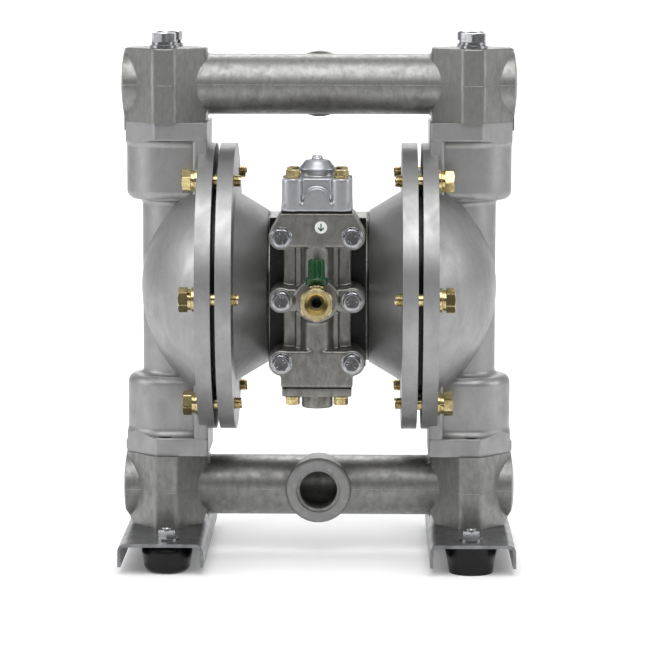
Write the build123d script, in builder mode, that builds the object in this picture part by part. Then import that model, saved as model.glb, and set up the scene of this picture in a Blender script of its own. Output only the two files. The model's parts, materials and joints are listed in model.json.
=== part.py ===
from build123d import *
import os
from math import asin, cos, radians, sin, sqrt

# Air operated double diaphragm pump with bolted metal chambers and one inch pipe ports.
# Frame: origin on the floor below the middle of the pump, +X towards the right hand chamber when
# the air inlet faces the viewer, +Y away from the viewer, +Z up. All lengths are millimetres.

# Clearances
slip = 0.1  # a still piece in its own hole or recess
run = 0.05  # a shaft or rod in its bush
free = 0.3  # moving faces that must not touch
bolt_clearance = 0.3  # a bolt in a drilled hole

# Rubber feet on threaded studs
foot_height = 22.4
foot_top_radius = 21.0
foot_bottom_radius = 17.0
foot_edge_round = 6.0
foot_inset = 1.0
left_foot_shift = 4.0
right_foot_shift = 1.0
stud_radius = 4.0
stud_grip = 12.0
stud_show = 1.5
foot_nut_flats = 13.0
foot_nut_height = 6.5
foot_washer_radius = 9.2
foot_washer_thick = 1.6

# Sheet metal foot brackets, open downwards
sheet = 2.5
bracket_length = 212.0
bracket_width = 66.0
bracket_drop = 18.1
bracket_flare = 0.3
bracket_bend = 5.5

# Pipe manifolds and their end blocks
side_x = 121.0
block_height = 58.0
block_nose_y = 44.0
block_nose_half = 8.0
block_shoulder_half = 32.0
block_shoulder_y = 15.0
block_edge_round = 6.0
block_foot_half = 27.4
block_taper_height = 12.3
block_top_round = 1.6
pipe_radius = 24.0
pipe_neck_round = 3.0
pipe_bore = 16.0
upper_cap_radius = 28.0
lower_cap_radius = 28.4
cap_reach = 33.1
cap_dome = 2.8
port_boss_radius = 25.8
port_rim_round = 1.5
port_reach = 30.0
port_minor_radius = 15.1
port_mouth_radius = 17.6
port_mouth_depth = 2.4

# Fluid chambers
chamber_height = 264.0
diaphragm_x = 79.7
rim_thick = 3.7
flange_thick = 12.25
flange_radius = 114.2
flange_round = 2.9
dome_foot_radius = 88.0
dome_apex = 141.5
dome_wall = 5.5
cavity_radius = 82.0
cavity_draft = 2.0
column_reach = 140.8
column_radius = 26.0
column_bore = 17.0
chest_radius = 32.0
chest_half_length = 70.0
chest_edge_round = 7.0
chest_neck_round = 4.0
chest_inner_x = 87.3
chest_web = 11.5
chest_web_half = 39.5
ledge_thick = 14.5
ledge_front_x = 128.4
ledge_half = 40.0
ledge_nose_half = 14.0
ledge_round = 3.0
ledge_root_round = 6.0
ledge_hole_break = 0.6
lug_height = 7.5
lug_half = 5.0
lug_proud = 1.9
upper_lug_thick = 1.6
lug_root = 8.0

# Check balls, seats and cages
ball_radius = 16.0
ball_lift = 8.0
seat_bore = 10.5
seat_mouth = 15.0
seat_outer = 23.7
seat_height = 7.0
seat_groove = 2.0
seat_groove_height = 3.0
cage_radius = 22.5
cage_height = 47.0
cage_rib = 4.0
cage_gap = 0.6
cage_stop = 6.0
throat_radius = 15.0

# Air chambers and centre block
air_cone_small = 60.6
air_cone_large = 76.0
air_cone_wall = 6.0
air_end_wall = 9.0
centre_half = 38.5
centre_radius = 59.5
centre_gasket = 1.4
pad_y = 57.0
pad_half = 37.5
pad_bottom = 57.0
wall_screw_circle = 44.0
wall_screw_radius = 3.0
wall_screw_head = 5.0
wall_screw_head_height = 6.0
wall_screw_grip = 14.0

# Shaft, plates and diaphragms
stroke = 14.0
shaft_radius = 10.0
shaft_hole = 12.0
end_thread_radius = 7.0
plate_radius = 46.0
plate_round = 3.5
inner_plate = 10.0
outer_plate = 8.0
shaft_nut_flats = 22.0
shaft_nut_height = 10.0
bush_wall = 3.0
bush_length = 20.0
seal_depth = 5.0
seal_wall = 5.0
diaphragm_radius = 94.0
diaphragm_grip = 80.0
convolution_start = 49.0
convolution_height = 8.0
diaphragm_skin = 2.8

# Pilot rod behind the shaft
pilot_y = 40.0
pilot_radius = 4.0
pilot_throw = 5.0
pilot_bush_wall = 3.0
pilot_bush_length = 15.0
pilot_waist = 3.0
pilot_waist_length = 7.0

# Air passages
port_pitch = 19.0
passage = 5.0
cross_y = 44.0
gallery_y = 24.0
muffler_thread = 13.0
muffler_boss_radius = 20.0
muffler_boss_y = 58.0

# Air valve body
valve_gasket = 1.5
valve_depth = 46.5
valve_top = 67.0
valve_bottom = 67.2
valve_top_half = 28.0
valve_bottom_half = 27.6
valve_slab_top = 40.5
valve_slab_bottom = 39.0
valve_bolt_x = 27.0
valve_bolt_z = 48.4
valve_boss = 10.0
valve_ear_half = 8.8
valve_core_half = 16.5
valve_core_depth = 33.0
valve_flank_half = 26.0
valve_flank_depth = 24.0
valve_rib = 12.0
inlet_boss_radius = 17.0
inlet_boss_proud = 2.0
spool_y = 81.0
sleeve_radius = 14.0
spool_radius = 10.0
spool_throw = 12.0
spool_groove = 6.5
spool_tail = 4.5
land_width = 6.0
land_levels = (-58.0, -40.5, -6.0, 28.5, 46.0)
supply_way = 2.5
ring_depth = 1.8
ring_width = 2.6
label_radius = 4.7
label_thick = 0.3
label_x = 3.2
label_z = 56.1

# Air valve covers
cover_gasket = 1.2
cover_screw_x = 18.5
cover_screw_y = 17.5
cover_column = 8.5
top_cover_half_x = 27.2
top_cover_half_y = 24.0
top_cover_plate = 6.2
top_cover_height = 25.2
top_cover_wall = 4.0
arch_radius = 10.0
arch_top = 18.1
barrel_radius = 12.5
crown_radius = 15.0
crown_top_radius = 8.9
crown_low = 31.0
crown_top = 38.3
nub_radius = 4.4
nub_height = 3.3
cover_bore = 9.0
cover_bore_depth = 20.0
bottom_cover_half_x = 26.7
bottom_cover_half_y = 22.0
bottom_cover_plate = 6.4
bottom_boss_radius = 12.15
bottom_boss_height = 10.8
bottom_bore_depth = 9.0

# Air inlet ball valve
inlet_thread = 6.6
inlet_thread_length = 12.0
inlet_ball_y = 116.0
inlet_face_y = 132.0
inlet_flats = 24.7
inlet_corner_radius = 13.0
inlet_hex_length = 9.0
inlet_body_radius = 10.6
inlet_bore = 7.5
inlet_bore_depth = 7.5
inlet_ball_radius = 7.5
inlet_way = 4.0
inlet_seat = 2.4
bonnet_radius = 6.6
bonnet_top = 13.4
stem_radius = 2.6
stem_top = 24.0
collar_radius = 8.6
collar_height = 5.3
grip_radius = 6.6
grip_height = 13.7
grip_flutes = 8
flute_radius = 1.1
grip_recess = 1.6

# Exhaust muffler
muffler_hex_flats = 30.0
muffler_hex_length = 9.0
muffler_radius = 17.0
muffler_length = 46.0
muffler_nipple = 12.0
muffler_bore = 9.0
muffler_wall = 4.0
slot_rows = 4
slots_round = 10
slot_half = 1.6

# Fasteners: shank radius, width across flats, head height, washers
m12 = dict(radius=6.0, flats=19.0, head=7.2)
m10 = dict(radius=5.0, flats=17.0, head=7.2)
m8 = dict(radius=4.0, flats=13.0, head=5.3)
m6 = dict(radius=3.0, flats=10.0, head=4.6)
m12_washer = dict(radius=11.0, thick=2.5, spring_radius=9.6, spring_thick=2.5)
m10_washer = dict(radius=9.5, thick=2.3, spring_radius=8.2, spring_thick=3.0)
m8_washer = dict(radius=8.4, thick=1.6, spring_radius=7.0, spring_thick=2.0)
m6_washer = dict(radius=5.6, thick=1.8)
manifold_bolt_y = 33.0
manifold_bolt_short = 3.0
flange_bolt_circle = 101.0
flange_bolts = 6
flange_bolt_show = 4.5
valve_bolt_grip = 16.0
cover_screw_grip = 11.0
spring_washer_slit = 1.4
head_corner = 0.96  # how far the turned top of a hexagon reaches, as a share of its flats

# Levels and places that follow from the values above
plate_top = foot_height + sheet
lower_joint = plate_top + block_height
axis_z = lower_joint + chamber_height / 2
upper_joint = lower_joint + chamber_height
block_top = upper_joint + block_height
lower_pipe_z = plate_top + block_height / 2
upper_pipe_z = upper_joint + block_height / 2
fluid_face = diaphragm_x + rim_thick / 2
air_face = diaphragm_x - rim_thick / 2
fluid_flange_back = fluid_face + flange_thick
air_flange_back = air_face - flange_thick
air_end = centre_half + centre_gasket
inner_plate_face = air_face - inner_plate
valve_back = pad_y + valve_gasket
valve_front = valve_back + valve_depth
inlet_base = valve_front + inlet_boss_proud
foot_y = bracket_length / 2 - foot_top_radius - foot_inset
ledge_nose_x = side_x + chest_radius

# Planes and axes that the pieces share
section = Plane(origin=(0, 0, axis_z), x_dir=(1, 0, 0), z_dir=(0, -1, 0))
pump_axis = Axis((0, 0, axis_z), (1, 0, 0))
sides = (-1, 1)


def front_plane(depth):
    """Upright plane that faces the viewer, its middle on the pump axis, depth in front of it."""
    return section.offset(depth)


def side_plane(x, height=axis_z):
    """Upright plane that faces +X at x, with its middle at the given height."""
    return Plane(origin=(x, 0, height), x_dir=(0, 1, 0), z_dir=(1, 0, 0))


def dome_points(foot_x, foot_radius, apex):
    """Foot, middle and apex of a spherical cap that stands on a circle about the pump axis."""
    rise = apex - foot_x
    radius = (foot_radius**2 + rise**2) / (2 * rise)
    half = asin(foot_radius / radius) / 2
    middle = (apex - radius + radius * cos(half), radius * sin(half))
    return (foot_x, foot_radius), middle, (apex, 0)


def hex_head(size):
    """Hexagon head on the XY plane with its corners turned off at the top."""
    corner = size["flats"] / sqrt(3)
    turned = size["flats"] / 2 * head_corner
    drop = (corner - turned) * 0.58
    with BuildPart() as head:
        with BuildSketch():
            RegularPolygon(size["flats"] / 2, 6, major_radius=False, rotation=30)
        extrude(amount=size["head"])
        with BuildSketch(Plane.XZ):
            with BuildLine():
                Polyline((0, 0), (corner, 0), (corner, size["head"] - drop), (turned, size["head"]),
                         (0, size["head"]), close=True)
            make_face()
        revolve(axis=Axis.Z, mode=Mode.INTERSECT)
    return head.part


def hex_screw(size, length):
    """Hexagon screw along Z with the underside of its head at zero and its tip below."""
    with BuildPart() as screw:
        add(hex_head(size))
        with BuildSketch():
            Circle(size["radius"])
        extrude(amount=-length)
        chamfer(screw.edges().sort_by(Axis.Z)[0], size["radius"] * 0.2)
    return screw.part


def hex_nut(flats, height, bore):
    """Hexagon nut that stands on the XY plane, its bore clear of the thread by a slip."""
    with BuildPart() as nut:
        add(hex_head(dict(flats=flats, head=height)))
        with BuildSketch():
            Circle(bore + slip)
        extrude(amount=height, mode=Mode.SUBTRACT)
    return nut.part


def washer(outer, bore, thick):
    """Flat washer that stands on the XY plane."""
    with BuildPart() as ring:
        with BuildSketch():
            Circle(outer)
            Circle(bore + bolt_clearance, mode=Mode.SUBTRACT)
        extrude(amount=thick)
    return ring.part


def spring_washer(outer, bore, thick):
    """Split washer that stands on the XY plane, cut through on a slant."""
    with BuildPart() as ring:
        add(washer(outer, bore, thick))
        slit = Box(outer * 2, spring_washer_slit, thick * 3, mode=Mode.PRIVATE)
        add(Pos(outer, 0, thick / 2) * Rot(X=25) * slit, mode=Mode.SUBTRACT)
    return ring.part


def keep(builder, name):
    """Label a finished piece and write it as its own STEP file."""
    builder.part.label = name
    export_step(builder.part, f"parts/{name}.step")


os.makedirs("parts", exist_ok=True)

# Places of the fasteners, each a plane whose normal points out of the head
upper_bolt_places = [
    Plane(origin=(s * side_x, y, block_top)) for s in sides for y in (-manifold_bolt_y, manifold_bolt_y)
]
lower_bolt_places = [
    Plane(origin=(s * side_x, y, foot_height), z_dir=(0, 0, -1))
    for s in sides for y in (-manifold_bolt_y, manifold_bolt_y)
]
flange_angles = [radians(360 / flange_bolts * n) for n in range(flange_bolts)]


def flange_places(side, x):
    """Planes of one flange's bolt circle at x, from the front bolt onward, facing outward."""
    return [
        Plane(
            origin=(side * x, -flange_bolt_circle * cos(a), axis_z + flange_bolt_circle * sin(a)),
            x_dir=(0, 0, 1),
            z_dir=(side, 0, 0),
        )
        for a in flange_angles
    ]


valve_bolt_spots = [(x, z) for x in (-valve_bolt_x, valve_bolt_x) for z in (-valve_bolt_z, 0, valve_bolt_z)]
cover_spots = [(x, y - spool_y) for x in (-cover_screw_x, cover_screw_x) for y in (-cover_screw_y, cover_screw_y)]
left_foot_spots = [(left_foot_shift - side_x, y) for y in (-foot_y, foot_y)]
right_foot_spots = [(side_x - right_foot_shift, y) for y in (-foot_y, foot_y)]
foot_spots = left_foot_spots + right_foot_spots

# Rubber feet
with BuildPart() as rubber_feet:
    for x, y in foot_spots:
        with BuildSketch(Plane(origin=(x, y, 0), x_dir=(1, 0, 0), z_dir=(0, -1, 0))):
            with BuildLine() as foot_outline:
                Polyline((0, 0), (foot_bottom_radius, 0), (foot_top_radius, foot_height),
                         (0, foot_height), close=True)
            make_face()
            fillet(foot_outline.vertices().filter_by(lambda v: v.Z < 1 and v.X > x + 1), foot_edge_round)
        revolve(axis=Axis((x, y, 0), (0, 0, 1)))
    with BuildSketch(Plane.XY.offset(foot_height)):
        with Locations(*foot_spots):
            Circle(stud_radius + slip)
    extrude(amount=-stud_grip - slip, mode=Mode.SUBTRACT)
keep(rubber_feet, "rubber_feet")

foot_stack = sheet + foot_washer_thick + foot_nut_height
with BuildPart() as foot_studs:
    with BuildSketch(Plane.XY.offset(foot_height - stud_grip)):
        with Locations(*foot_spots):
            Circle(stud_radius)
    extrude(amount=stud_grip + foot_stack + stud_show)
    chamfer(foot_studs.edges().group_by(Axis.Z)[-1], stud_radius * 0.15)
keep(foot_studs, "foot_studs")

with BuildPart() as foot_washers:
    with Locations(*[Plane(origin=(x, y, plate_top)) for x, y in foot_spots]):
        add(washer(foot_washer_radius, stud_radius, foot_washer_thick))
keep(foot_washers, "foot_washers")

with BuildPart() as foot_nuts:
    with Locations(*[Plane(origin=(x, y, plate_top + foot_washer_thick)) for x, y in foot_spots]):
        add(hex_nut(foot_nut_flats, foot_nut_height, stud_radius))
keep(foot_nuts, "foot_nuts")

# Foot brackets
plate_line = plate_top - sheet / 2
corner_x = bracket_width / 2 - sheet / 2
tip_z = plate_top - bracket_drop


def foot_bracket(middle, stud_spots):
    """Channel of bent sheet with its middle at x, holes for the manifold bolts and the foot studs."""
    with BuildPart() as bracket:
        with BuildSketch(Plane(origin=(middle, bracket_length / 2, 0), x_dir=(1, 0, 0), z_dir=(0, -1, 0))):
            with BuildLine():
                FilletPolyline((-corner_x - bracket_flare, tip_z), (-corner_x, plate_line),
                               (corner_x, plate_line), (corner_x + bracket_flare, tip_z),
                               radius=bracket_bend - sheet / 2)
            trace(line_width=sheet)
        extrude(amount=bracket_length)
        with BuildSketch(Plane.XY.offset(plate_top)):
            with Locations((middle, -manifold_bolt_y), (middle, manifold_bolt_y)):
                Circle(m12["radius"] + bolt_clearance)
            with Locations(*stud_spots):
                Circle(stud_radius + bolt_clearance)
        extrude(amount=-sheet * 1.5, mode=Mode.SUBTRACT)
    return bracket.part


with BuildPart() as right_foot_bracket:
    add(foot_bracket(side_x, right_foot_spots))
keep(right_foot_bracket, "right_foot_bracket")

with BuildPart() as left_foot_bracket:
    add(foot_bracket(-side_x, left_foot_spots))
keep(left_foot_bracket, "left_foot_bracket")


def block_outline():
    """Two bolt outline of a manifold end block, about its own middle."""
    quarter = [(block_nose_half, block_nose_y), (block_shoulder_half, block_shoulder_y)]
    right = quarter + [(x, -y) for x, y in reversed(quarter)]
    return right + [(-x, -y) for x, y in right]


def foot_profile():
    """Front view of a lower end block with its cap: it draws in towards the foot bracket."""
    half = block_height / 2
    wide = cap_reach + cap_dome + 1
    rise = block_taper_height / (cap_reach - block_foot_half) * (wide - block_foot_half)
    return [(-block_foot_half, -half), (block_foot_half, -half), (wide, rise - half), (wide, half + 1),
            (-wide, half + 1), (-wide, rise - half)]


def manifold_castings(pipe_z, cap_radius, port_direction):
    """Outer form of a manifold: two end blocks with domed caps, the pipe and the port boss."""
    front = Plane(origin=(0, 0, pipe_z), x_dir=(1, 0, 0), z_dir=(0, -1, 0))
    face_x = side_x - block_shoulder_half
    with BuildPart() as casting:
        with BuildSketch(Plane.XY.offset(pipe_z - block_height / 2)):
            with Locations((-side_x, 0), (side_x, 0)):
                Polygon(*block_outline(), align=None)
        extrude(amount=block_height)
        fillet(casting.edges().filter_by(Axis.Z), block_edge_round)
        if port_direction > 0:
            fillet(casting.faces().sort_by(Axis.Z)[-2:].edges(), block_top_round)
        for s in sides:
            with BuildSketch(Plane(origin=(s * side_x, 0, pipe_z), x_dir=(s, 0, 0), z_dir=(0, -s, 0))):
                with BuildLine():
                    Line((0, 0), (0, cap_radius))
                    Line((0, cap_radius), (cap_reach, cap_radius))
                    foot, middle, apex = dome_points(cap_reach, cap_radius, cap_reach + cap_dome)
                    ThreePointArc(foot, middle, apex)
                    Line(apex, (0, 0))
                make_face()
            revolve(axis=Axis((0, 0, pipe_z), (1, 0, 0)))
        if port_direction < 0:
            with BuildSketch(front):
                with Locations((-side_x, 0), (side_x, 0)):
                    Polygon(*foot_profile(), align=None)
            extrude(amount=block_nose_y, both=True, mode=Mode.INTERSECT)
        with BuildSketch(side_plane(-side_x, pipe_z)):
            Circle(pipe_radius)
        extrude(amount=2 * side_x)
        with BuildSketch(front):
            Circle(port_boss_radius)
        extrude(amount=-port_direction * port_reach)
        rim = casting.edges().filter_by(GeomType.CIRCLE).sort_by(
            lambda e: abs(e.center().Y - port_direction * port_reach) + abs(e.center().X))[0]
        fillet(rim, port_rim_round)
    with BuildPart() as necks:
        with BuildSketch(front):
            for s in sides:
                with BuildLine():
                    near = (s * (face_x - pipe_neck_round), pipe_radius)
                    RadiusArc(near, (s * face_x, pipe_radius + pipe_neck_round), -s * pipe_neck_round)
                    Polyline((s * face_x, pipe_radius + pipe_neck_round), (s * (face_x + 1), pipe_radius),
                             (s * (face_x + 1), pipe_bore + 1), (near[0], pipe_bore + 1), near)
                make_face()
        revolve(axis=Axis((0, 0, pipe_z), (1, 0, 0)))
        with BuildSketch(Plane.XY.offset(pipe_z)):
            Rectangle(4 * side_x, 2 * block_shoulder_y - 2)
        extrude(amount=block_height, both=True, mode=Mode.INTERSECT)
    casting.part = casting.part + necks.part
    return casting.part


def port_hole(pipe_z, port_direction):
    """Threaded port from its mouth to the pipe bore, with a wider turned mouth."""
    mouth = Plane(origin=(0, port_direction * port_reach, pipe_z), x_dir=(1, 0, 0),
                  z_dir=(0, port_direction, 0))
    with BuildPart() as hole:
        with BuildSketch(mouth):
            Circle(port_mouth_radius)
        extrude(amount=-port_mouth_depth)
        with BuildSketch(mouth):
            Circle(port_minor_radius)
        extrude(amount=-port_reach)
    return hole.part


# Ball seating: the ball stands on a cone of 45 degrees, lifted by the free clearance
contact = ball_radius * sqrt(0.5)
ball_rest = contact - (seat_mouth - contact) + free * sqrt(2)
ball_ceiling = ball_rest + ball_radius + ball_lift + free


def guide_ribs(joint, height):
    """Four upright ribs that keep a ball in the middle of its cage, each side of the pump."""
    inner = ball_radius + cage_gap
    with BuildPart() as ribs:
        for s in sides:
            with BuildSketch(Plane(origin=(s * side_x, 0, joint))):
                with PolarLocations((inner + cage_radius + 1) / 2, 4, start_angle=45):
                    Rectangle(cage_radius + 1 - inner, cage_rib)
            extrude(amount=height)
    return ribs.part


# Upper manifold: discharge pipe with its port at the back
with BuildPart() as upper_manifold:
    add(manifold_castings(upper_pipe_z, upper_cap_radius, 1))
    # a lug at each end reaches down past the joint and keeps the manifold in line
    with BuildSketch(Plane(origin=(0, lug_half, upper_joint), x_dir=(1, 0, 0), z_dir=(0, -1, 0))):
        for s in sides:
            with Locations((s * (ledge_nose_x + slip + upper_lug_thick / 2), lug_root / 2 - lug_height / 2)):
                Rectangle(upper_lug_thick, lug_root + lug_height)
            with Locations((s * (ledge_nose_x - upper_lug_thick), lug_root / 2)):
                Rectangle(4 * upper_lug_thick, lug_root)
    extrude(amount=2 * lug_half)
    with BuildSketch(side_plane(-side_x - pipe_bore, upper_pipe_z)):
        Circle(pipe_bore)
    extrude(amount=2 * (side_x + pipe_bore), mode=Mode.SUBTRACT)
    with BuildSketch(Plane.XY.offset(upper_joint)):
        with Locations((-side_x, 0), (side_x, 0)):
            Circle(cage_radius)
    extrude(amount=block_height / 2, mode=Mode.SUBTRACT)
    add(port_hole(upper_pipe_z, 1), mode=Mode.SUBTRACT)
    add(guide_ribs(upper_joint + cage_gap, ball_ceiling - ball_lift))
    with BuildSketch(Plane.XY.offset(upper_joint + ball_ceiling)):
        with Locations((-side_x, 0), (side_x, 0)):
            Circle(cage_stop)
    extrude(amount=block_height / 2 + pipe_bore - ball_ceiling + 1)
    with BuildSketch(Plane.XY.offset(upper_joint)):
        with Locations(*[(s * side_x, y) for s in sides for y in (-manifold_bolt_y, manifold_bolt_y)]):
            Circle(m12["radius"] + bolt_clearance)
    extrude(amount=block_height, mode=Mode.SUBTRACT)
keep(upper_manifold, "upper_manifold")

# Lower manifold: suction pipe with its port at the front and the suction seats on top
with BuildPart() as lower_manifold:
    add(manifold_castings(lower_pipe_z, lower_cap_radius, -1))
    with BuildSketch(side_plane(-side_x - pipe_bore, lower_pipe_z)):
        Circle(pipe_bore)
    extrude(amount=2 * (side_x + pipe_bore), mode=Mode.SUBTRACT)
    with BuildSketch(Plane.XY.offset(lower_joint)):
        with Locations((-side_x, 0), (side_x, 0)):
            Circle(seat_outer + bolt_clearance)
    extrude(amount=-seat_height, mode=Mode.SUBTRACT)
    with BuildSketch(Plane.XY.offset(lower_joint)):
        with Locations((-side_x, 0), (side_x, 0)):
            Circle(throat_radius)
    extrude(amount=-block_height / 2, mode=Mode.SUBTRACT)
    add(port_hole(lower_pipe_z, -1), mode=Mode.SUBTRACT)
    with BuildSketch(Plane.XY.offset(plate_top)):
        with Locations(*[(s * side_x, y) for s in sides for y in (-manifold_bolt_y, manifold_bolt_y)]):
            Circle(m12["radius"] + bolt_clearance)
    extrude(amount=block_height, mode=Mode.SUBTRACT)
keep(lower_manifold, "lower_manifold")

# Upper valve housing of the right fluid chamber: a round chest that flares out to a two bolt ledge
chest_top = chamber_height / 2
ledge_under = chest_top - ledge_thick
ledge_points = [(chest_inner_x, -ledge_half), (ledge_front_x, -ledge_half), (ledge_nose_x, -ledge_nose_half),
                (ledge_nose_x, ledge_nose_half), (ledge_front_x, ledge_half), (chest_inner_x, ledge_half)]


def chest_half_face():
    """Half of the chest's section: rounded foot, upright wall and a flare under the ledge."""
    flare = chest_radius + ledge_root_round
    foot = chest_half_length + chest_edge_round
    with BuildSketch(mode=Mode.PRIVATE) as half:
        with BuildLine():
            Line((0, chest_half_length), (chest_radius - chest_edge_round, chest_half_length))
            RadiusArc((chest_radius - chest_edge_round, chest_half_length), (chest_radius, foot),
                      -chest_edge_round)
            Line((chest_radius, foot), (chest_radius, ledge_under - ledge_root_round))
            RadiusArc((chest_radius, ledge_under - ledge_root_round), (flare, ledge_under), ledge_root_round)
            Polyline((flare, ledge_under), (flare, chest_top), (0, chest_top), (0, chest_half_length))
        make_face()
    return half.sketch


with BuildPart() as chest:
    with BuildSketch(Plane(origin=(side_x, 0, axis_z), x_dir=(1, 0, 0), z_dir=(0, -1, 0))):
        add(chest_half_face())
    revolve(axis=Axis((side_x, 0, 0), (0, 0, 1)))
    with BuildSketch(side_plane(chest_inner_x)):
        add(chest_half_face())
        mirror(chest_half_face(), about=Plane.YZ)
    extrude(amount=side_x - chest_inner_x)
    with BuildSketch(Plane.XY.offset(axis_z + chest_half_length)):
        Polygon(*ledge_points, align=None)
        with Locations((side_x, 0)):
            Circle(chest_radius)
    extrude(amount=chest_top - chest_half_length, mode=Mode.INTERSECT)
    with BuildSketch(Plane.XY.offset(axis_z + chest_half_length)):
        with Locations((chest_inner_x + chest_web / 2, 0)):
            RectangleRounded(chest_web, 2 * chest_web_half, ledge_round)
    extrude(amount=chest_top - chest_half_length)

with BuildPart() as ledge:
    with BuildSketch(Plane.XY.offset(upper_joint - ledge_thick)):
        Polygon(*ledge_points, align=None)
    extrude(amount=ledge_thick)
    fillet(ledge.edges().filter_by(Axis.Z), ledge_round)
    fillet(ledge.faces().sort_by(Axis.Z)[0].edges(), ledge_round / 2)

# Concave round where the chest's underside meets the column
neck_x = column_reach - column_radius
with BuildPart() as chest_neck:
    with BuildSketch(Plane(origin=(neck_x, 0, axis_z), x_dir=(1, 0, 0), z_dir=(0, -1, 0))):
        with BuildLine():
            neck_foot = (column_radius, chest_half_length - chest_neck_round)
            neck_rim = (column_radius + chest_neck_round, chest_half_length)
            RadiusArc(neck_foot, neck_rim, chest_neck_round)
            Polyline(neck_rim, (neck_rim[0], chest_half_length + chest_edge_round / 2),
                     (column_bore + 1, chest_half_length + chest_edge_round / 2),
                     (column_bore + 1, neck_foot[1]), neck_foot)
        make_face()
    revolve(axis=Axis((neck_x, 0, 0), (0, 0, 1)))

# Right fluid chamber
with BuildPart() as right_fluid_chamber:
    with BuildSketch(section):
        with BuildLine():
            Polyline((fluid_face, 0), (fluid_face, flange_radius), (fluid_flange_back, flange_radius),
                     (fluid_flange_back, dome_foot_radius))
            dome = dome_points(fluid_flange_back, dome_foot_radius, dome_apex)
            ThreePointArc(*dome)
            Line((dome_apex, 0), (fluid_face, 0))
        rim_face = make_face()
        fillet(rim_face.vertices().filter_by(lambda v: v.Z > axis_z + flange_radius - 1), flange_round)
    revolve(axis=pump_axis)
    with BuildSketch(Plane.XY.offset(axis_z - chest_half_length)):
        with Locations((neck_x, 0)):
            Circle(column_radius)
    extrude(amount=2 * chest_half_length)
    for form in (chest.part, ledge.part, chest_neck.part):
        add(form)
        mirror(form, about=Plane.XY.offset(axis_z))
    with BuildSketch(Plane.XY.offset(lower_joint)):
        with Locations((ledge_nose_x, 0)):
            RectangleRounded(2 * lug_proud, 2 * lug_half, lug_proud * 0.9)
    extrude(amount=lug_height)
    # pumping space inside the dome
    with BuildSketch(section):
        with BuildLine():
            inner_foot = cavity_radius - cavity_draft
            outer_radius = (dome_foot_radius**2 + (dome_apex - fluid_flange_back)**2) / (
                2 * (dome_apex - fluid_flange_back))
            inner_radius = outer_radius - dome_wall
            foot_x = dome_apex - outer_radius + sqrt(inner_radius**2 - inner_foot**2)
            Polyline((fluid_face, 0), (fluid_face, cavity_radius), (foot_x, inner_foot))
            ThreePointArc(*dome_points(foot_x, inner_foot, dome_apex - dome_wall))
            Line((dome_apex - dome_wall, 0), (fluid_face, 0))
        make_face()
    revolve(axis=pump_axis, mode=Mode.SUBTRACT)
    # column, throat and seat recess on top, ball cage below
    with BuildSketch(Plane.XY.offset(lower_joint + cage_height)):
        with Locations((neck_x, 0)):
            Circle(column_bore)
    extrude(amount=chamber_height - 2 * cage_height, mode=Mode.SUBTRACT)
    with BuildSketch(Plane.XY.offset(upper_joint)):
        with Locations((side_x, 0)):
            Circle(throat_radius)
    extrude(amount=-cage_height, mode=Mode.SUBTRACT)
    with BuildSketch(Plane.XY.offset(upper_joint)):
        with Locations((side_x, 0)):
            Circle(seat_outer + bolt_clearance)
    extrude(amount=-seat_height, mode=Mode.SUBTRACT)
    with BuildSketch(Plane.XY.offset(lower_joint)):
        with Locations((side_x, 0)):
            Circle(cage_radius)
    extrude(amount=cage_height, mode=Mode.SUBTRACT)
    right_ribs = guide_ribs(lower_joint + cage_gap, ball_ceiling - ball_lift).solids().filter_by(
        lambda s: s.center().X > 0)
    add(right_ribs)
    with BuildSketch(Plane.XY.offset(lower_joint + ball_ceiling)):
        with Locations((side_x, 0)):
            Rectangle(cage_stop, 2 * cage_radius + 1)
    extrude(amount=cage_stop)
    # bolt holes
    with BuildSketch(Plane.XY.offset(lower_joint)):
        with Locations((side_x, -manifold_bolt_y), (side_x, manifold_bolt_y)):
            Circle(m12["radius"] + slip)
    extrude(amount=ledge_thick + ledge_hole_break, mode=Mode.SUBTRACT)
    with BuildSketch(Plane.XY.offset(upper_joint)):
        with Locations((side_x, -manifold_bolt_y), (side_x, manifold_bolt_y)):
            Circle(m12["radius"] + slip)
    extrude(amount=-ledge_thick - ledge_hole_break, mode=Mode.SUBTRACT)
    with Locations(*flange_places(1, fluid_flange_back)):
        Hole(m10["radius"] + bolt_clearance, flange_thick * 1.5)
keep(right_fluid_chamber, "right_fluid_chamber")

with BuildPart() as left_fluid_chamber:
    mirror(right_fluid_chamber.part, about=Plane.YZ)
keep(left_fluid_chamber, "left_fluid_chamber")

# Seats, their O-rings and the check balls
seat_levels = (lower_joint, upper_joint)
with BuildPart() as valve_seats:
    for s in sides:
        for level in seat_levels:
            with BuildSketch(Plane(origin=(s * side_x, 0, level), x_dir=(1, 0, 0), z_dir=(0, -1, 0))):
                with BuildLine():
                    drop = seat_mouth - seat_bore
                    mid_low = -seat_height / 2 - seat_groove_height / 2
                    mid_high = -seat_height / 2 + seat_groove_height / 2
                    Polyline((seat_bore, -seat_height), (seat_bore, -drop), (seat_mouth, 0),
                             (seat_outer, 0), (seat_outer, mid_high), (seat_outer - seat_groove, mid_high),
                             (seat_outer - seat_groove, mid_low), (seat_outer, mid_low),
                             (seat_outer, -seat_height), close=True)
                make_face()
            revolve(axis=Axis((s * side_x, 0, level), (0, 0, 1)))
keep(valve_seats, "valve_seats")

with BuildPart() as seat_o_rings:
    for s in sides:
        for level in seat_levels:
            with BuildSketch(Plane(origin=(s * side_x, 0, level), x_dir=(1, 0, 0), z_dir=(0, -1, 0))):
                with Locations((seat_outer - seat_groove / 2 + slip, -seat_height / 2)):
                    RectangleRounded(seat_groove, seat_groove_height - 2 * slip, seat_groove * 0.4)
            revolve(axis=Axis((s * side_x, 0, level), (0, 0, 1)))
keep(seat_o_rings, "seat_o_rings")

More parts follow.
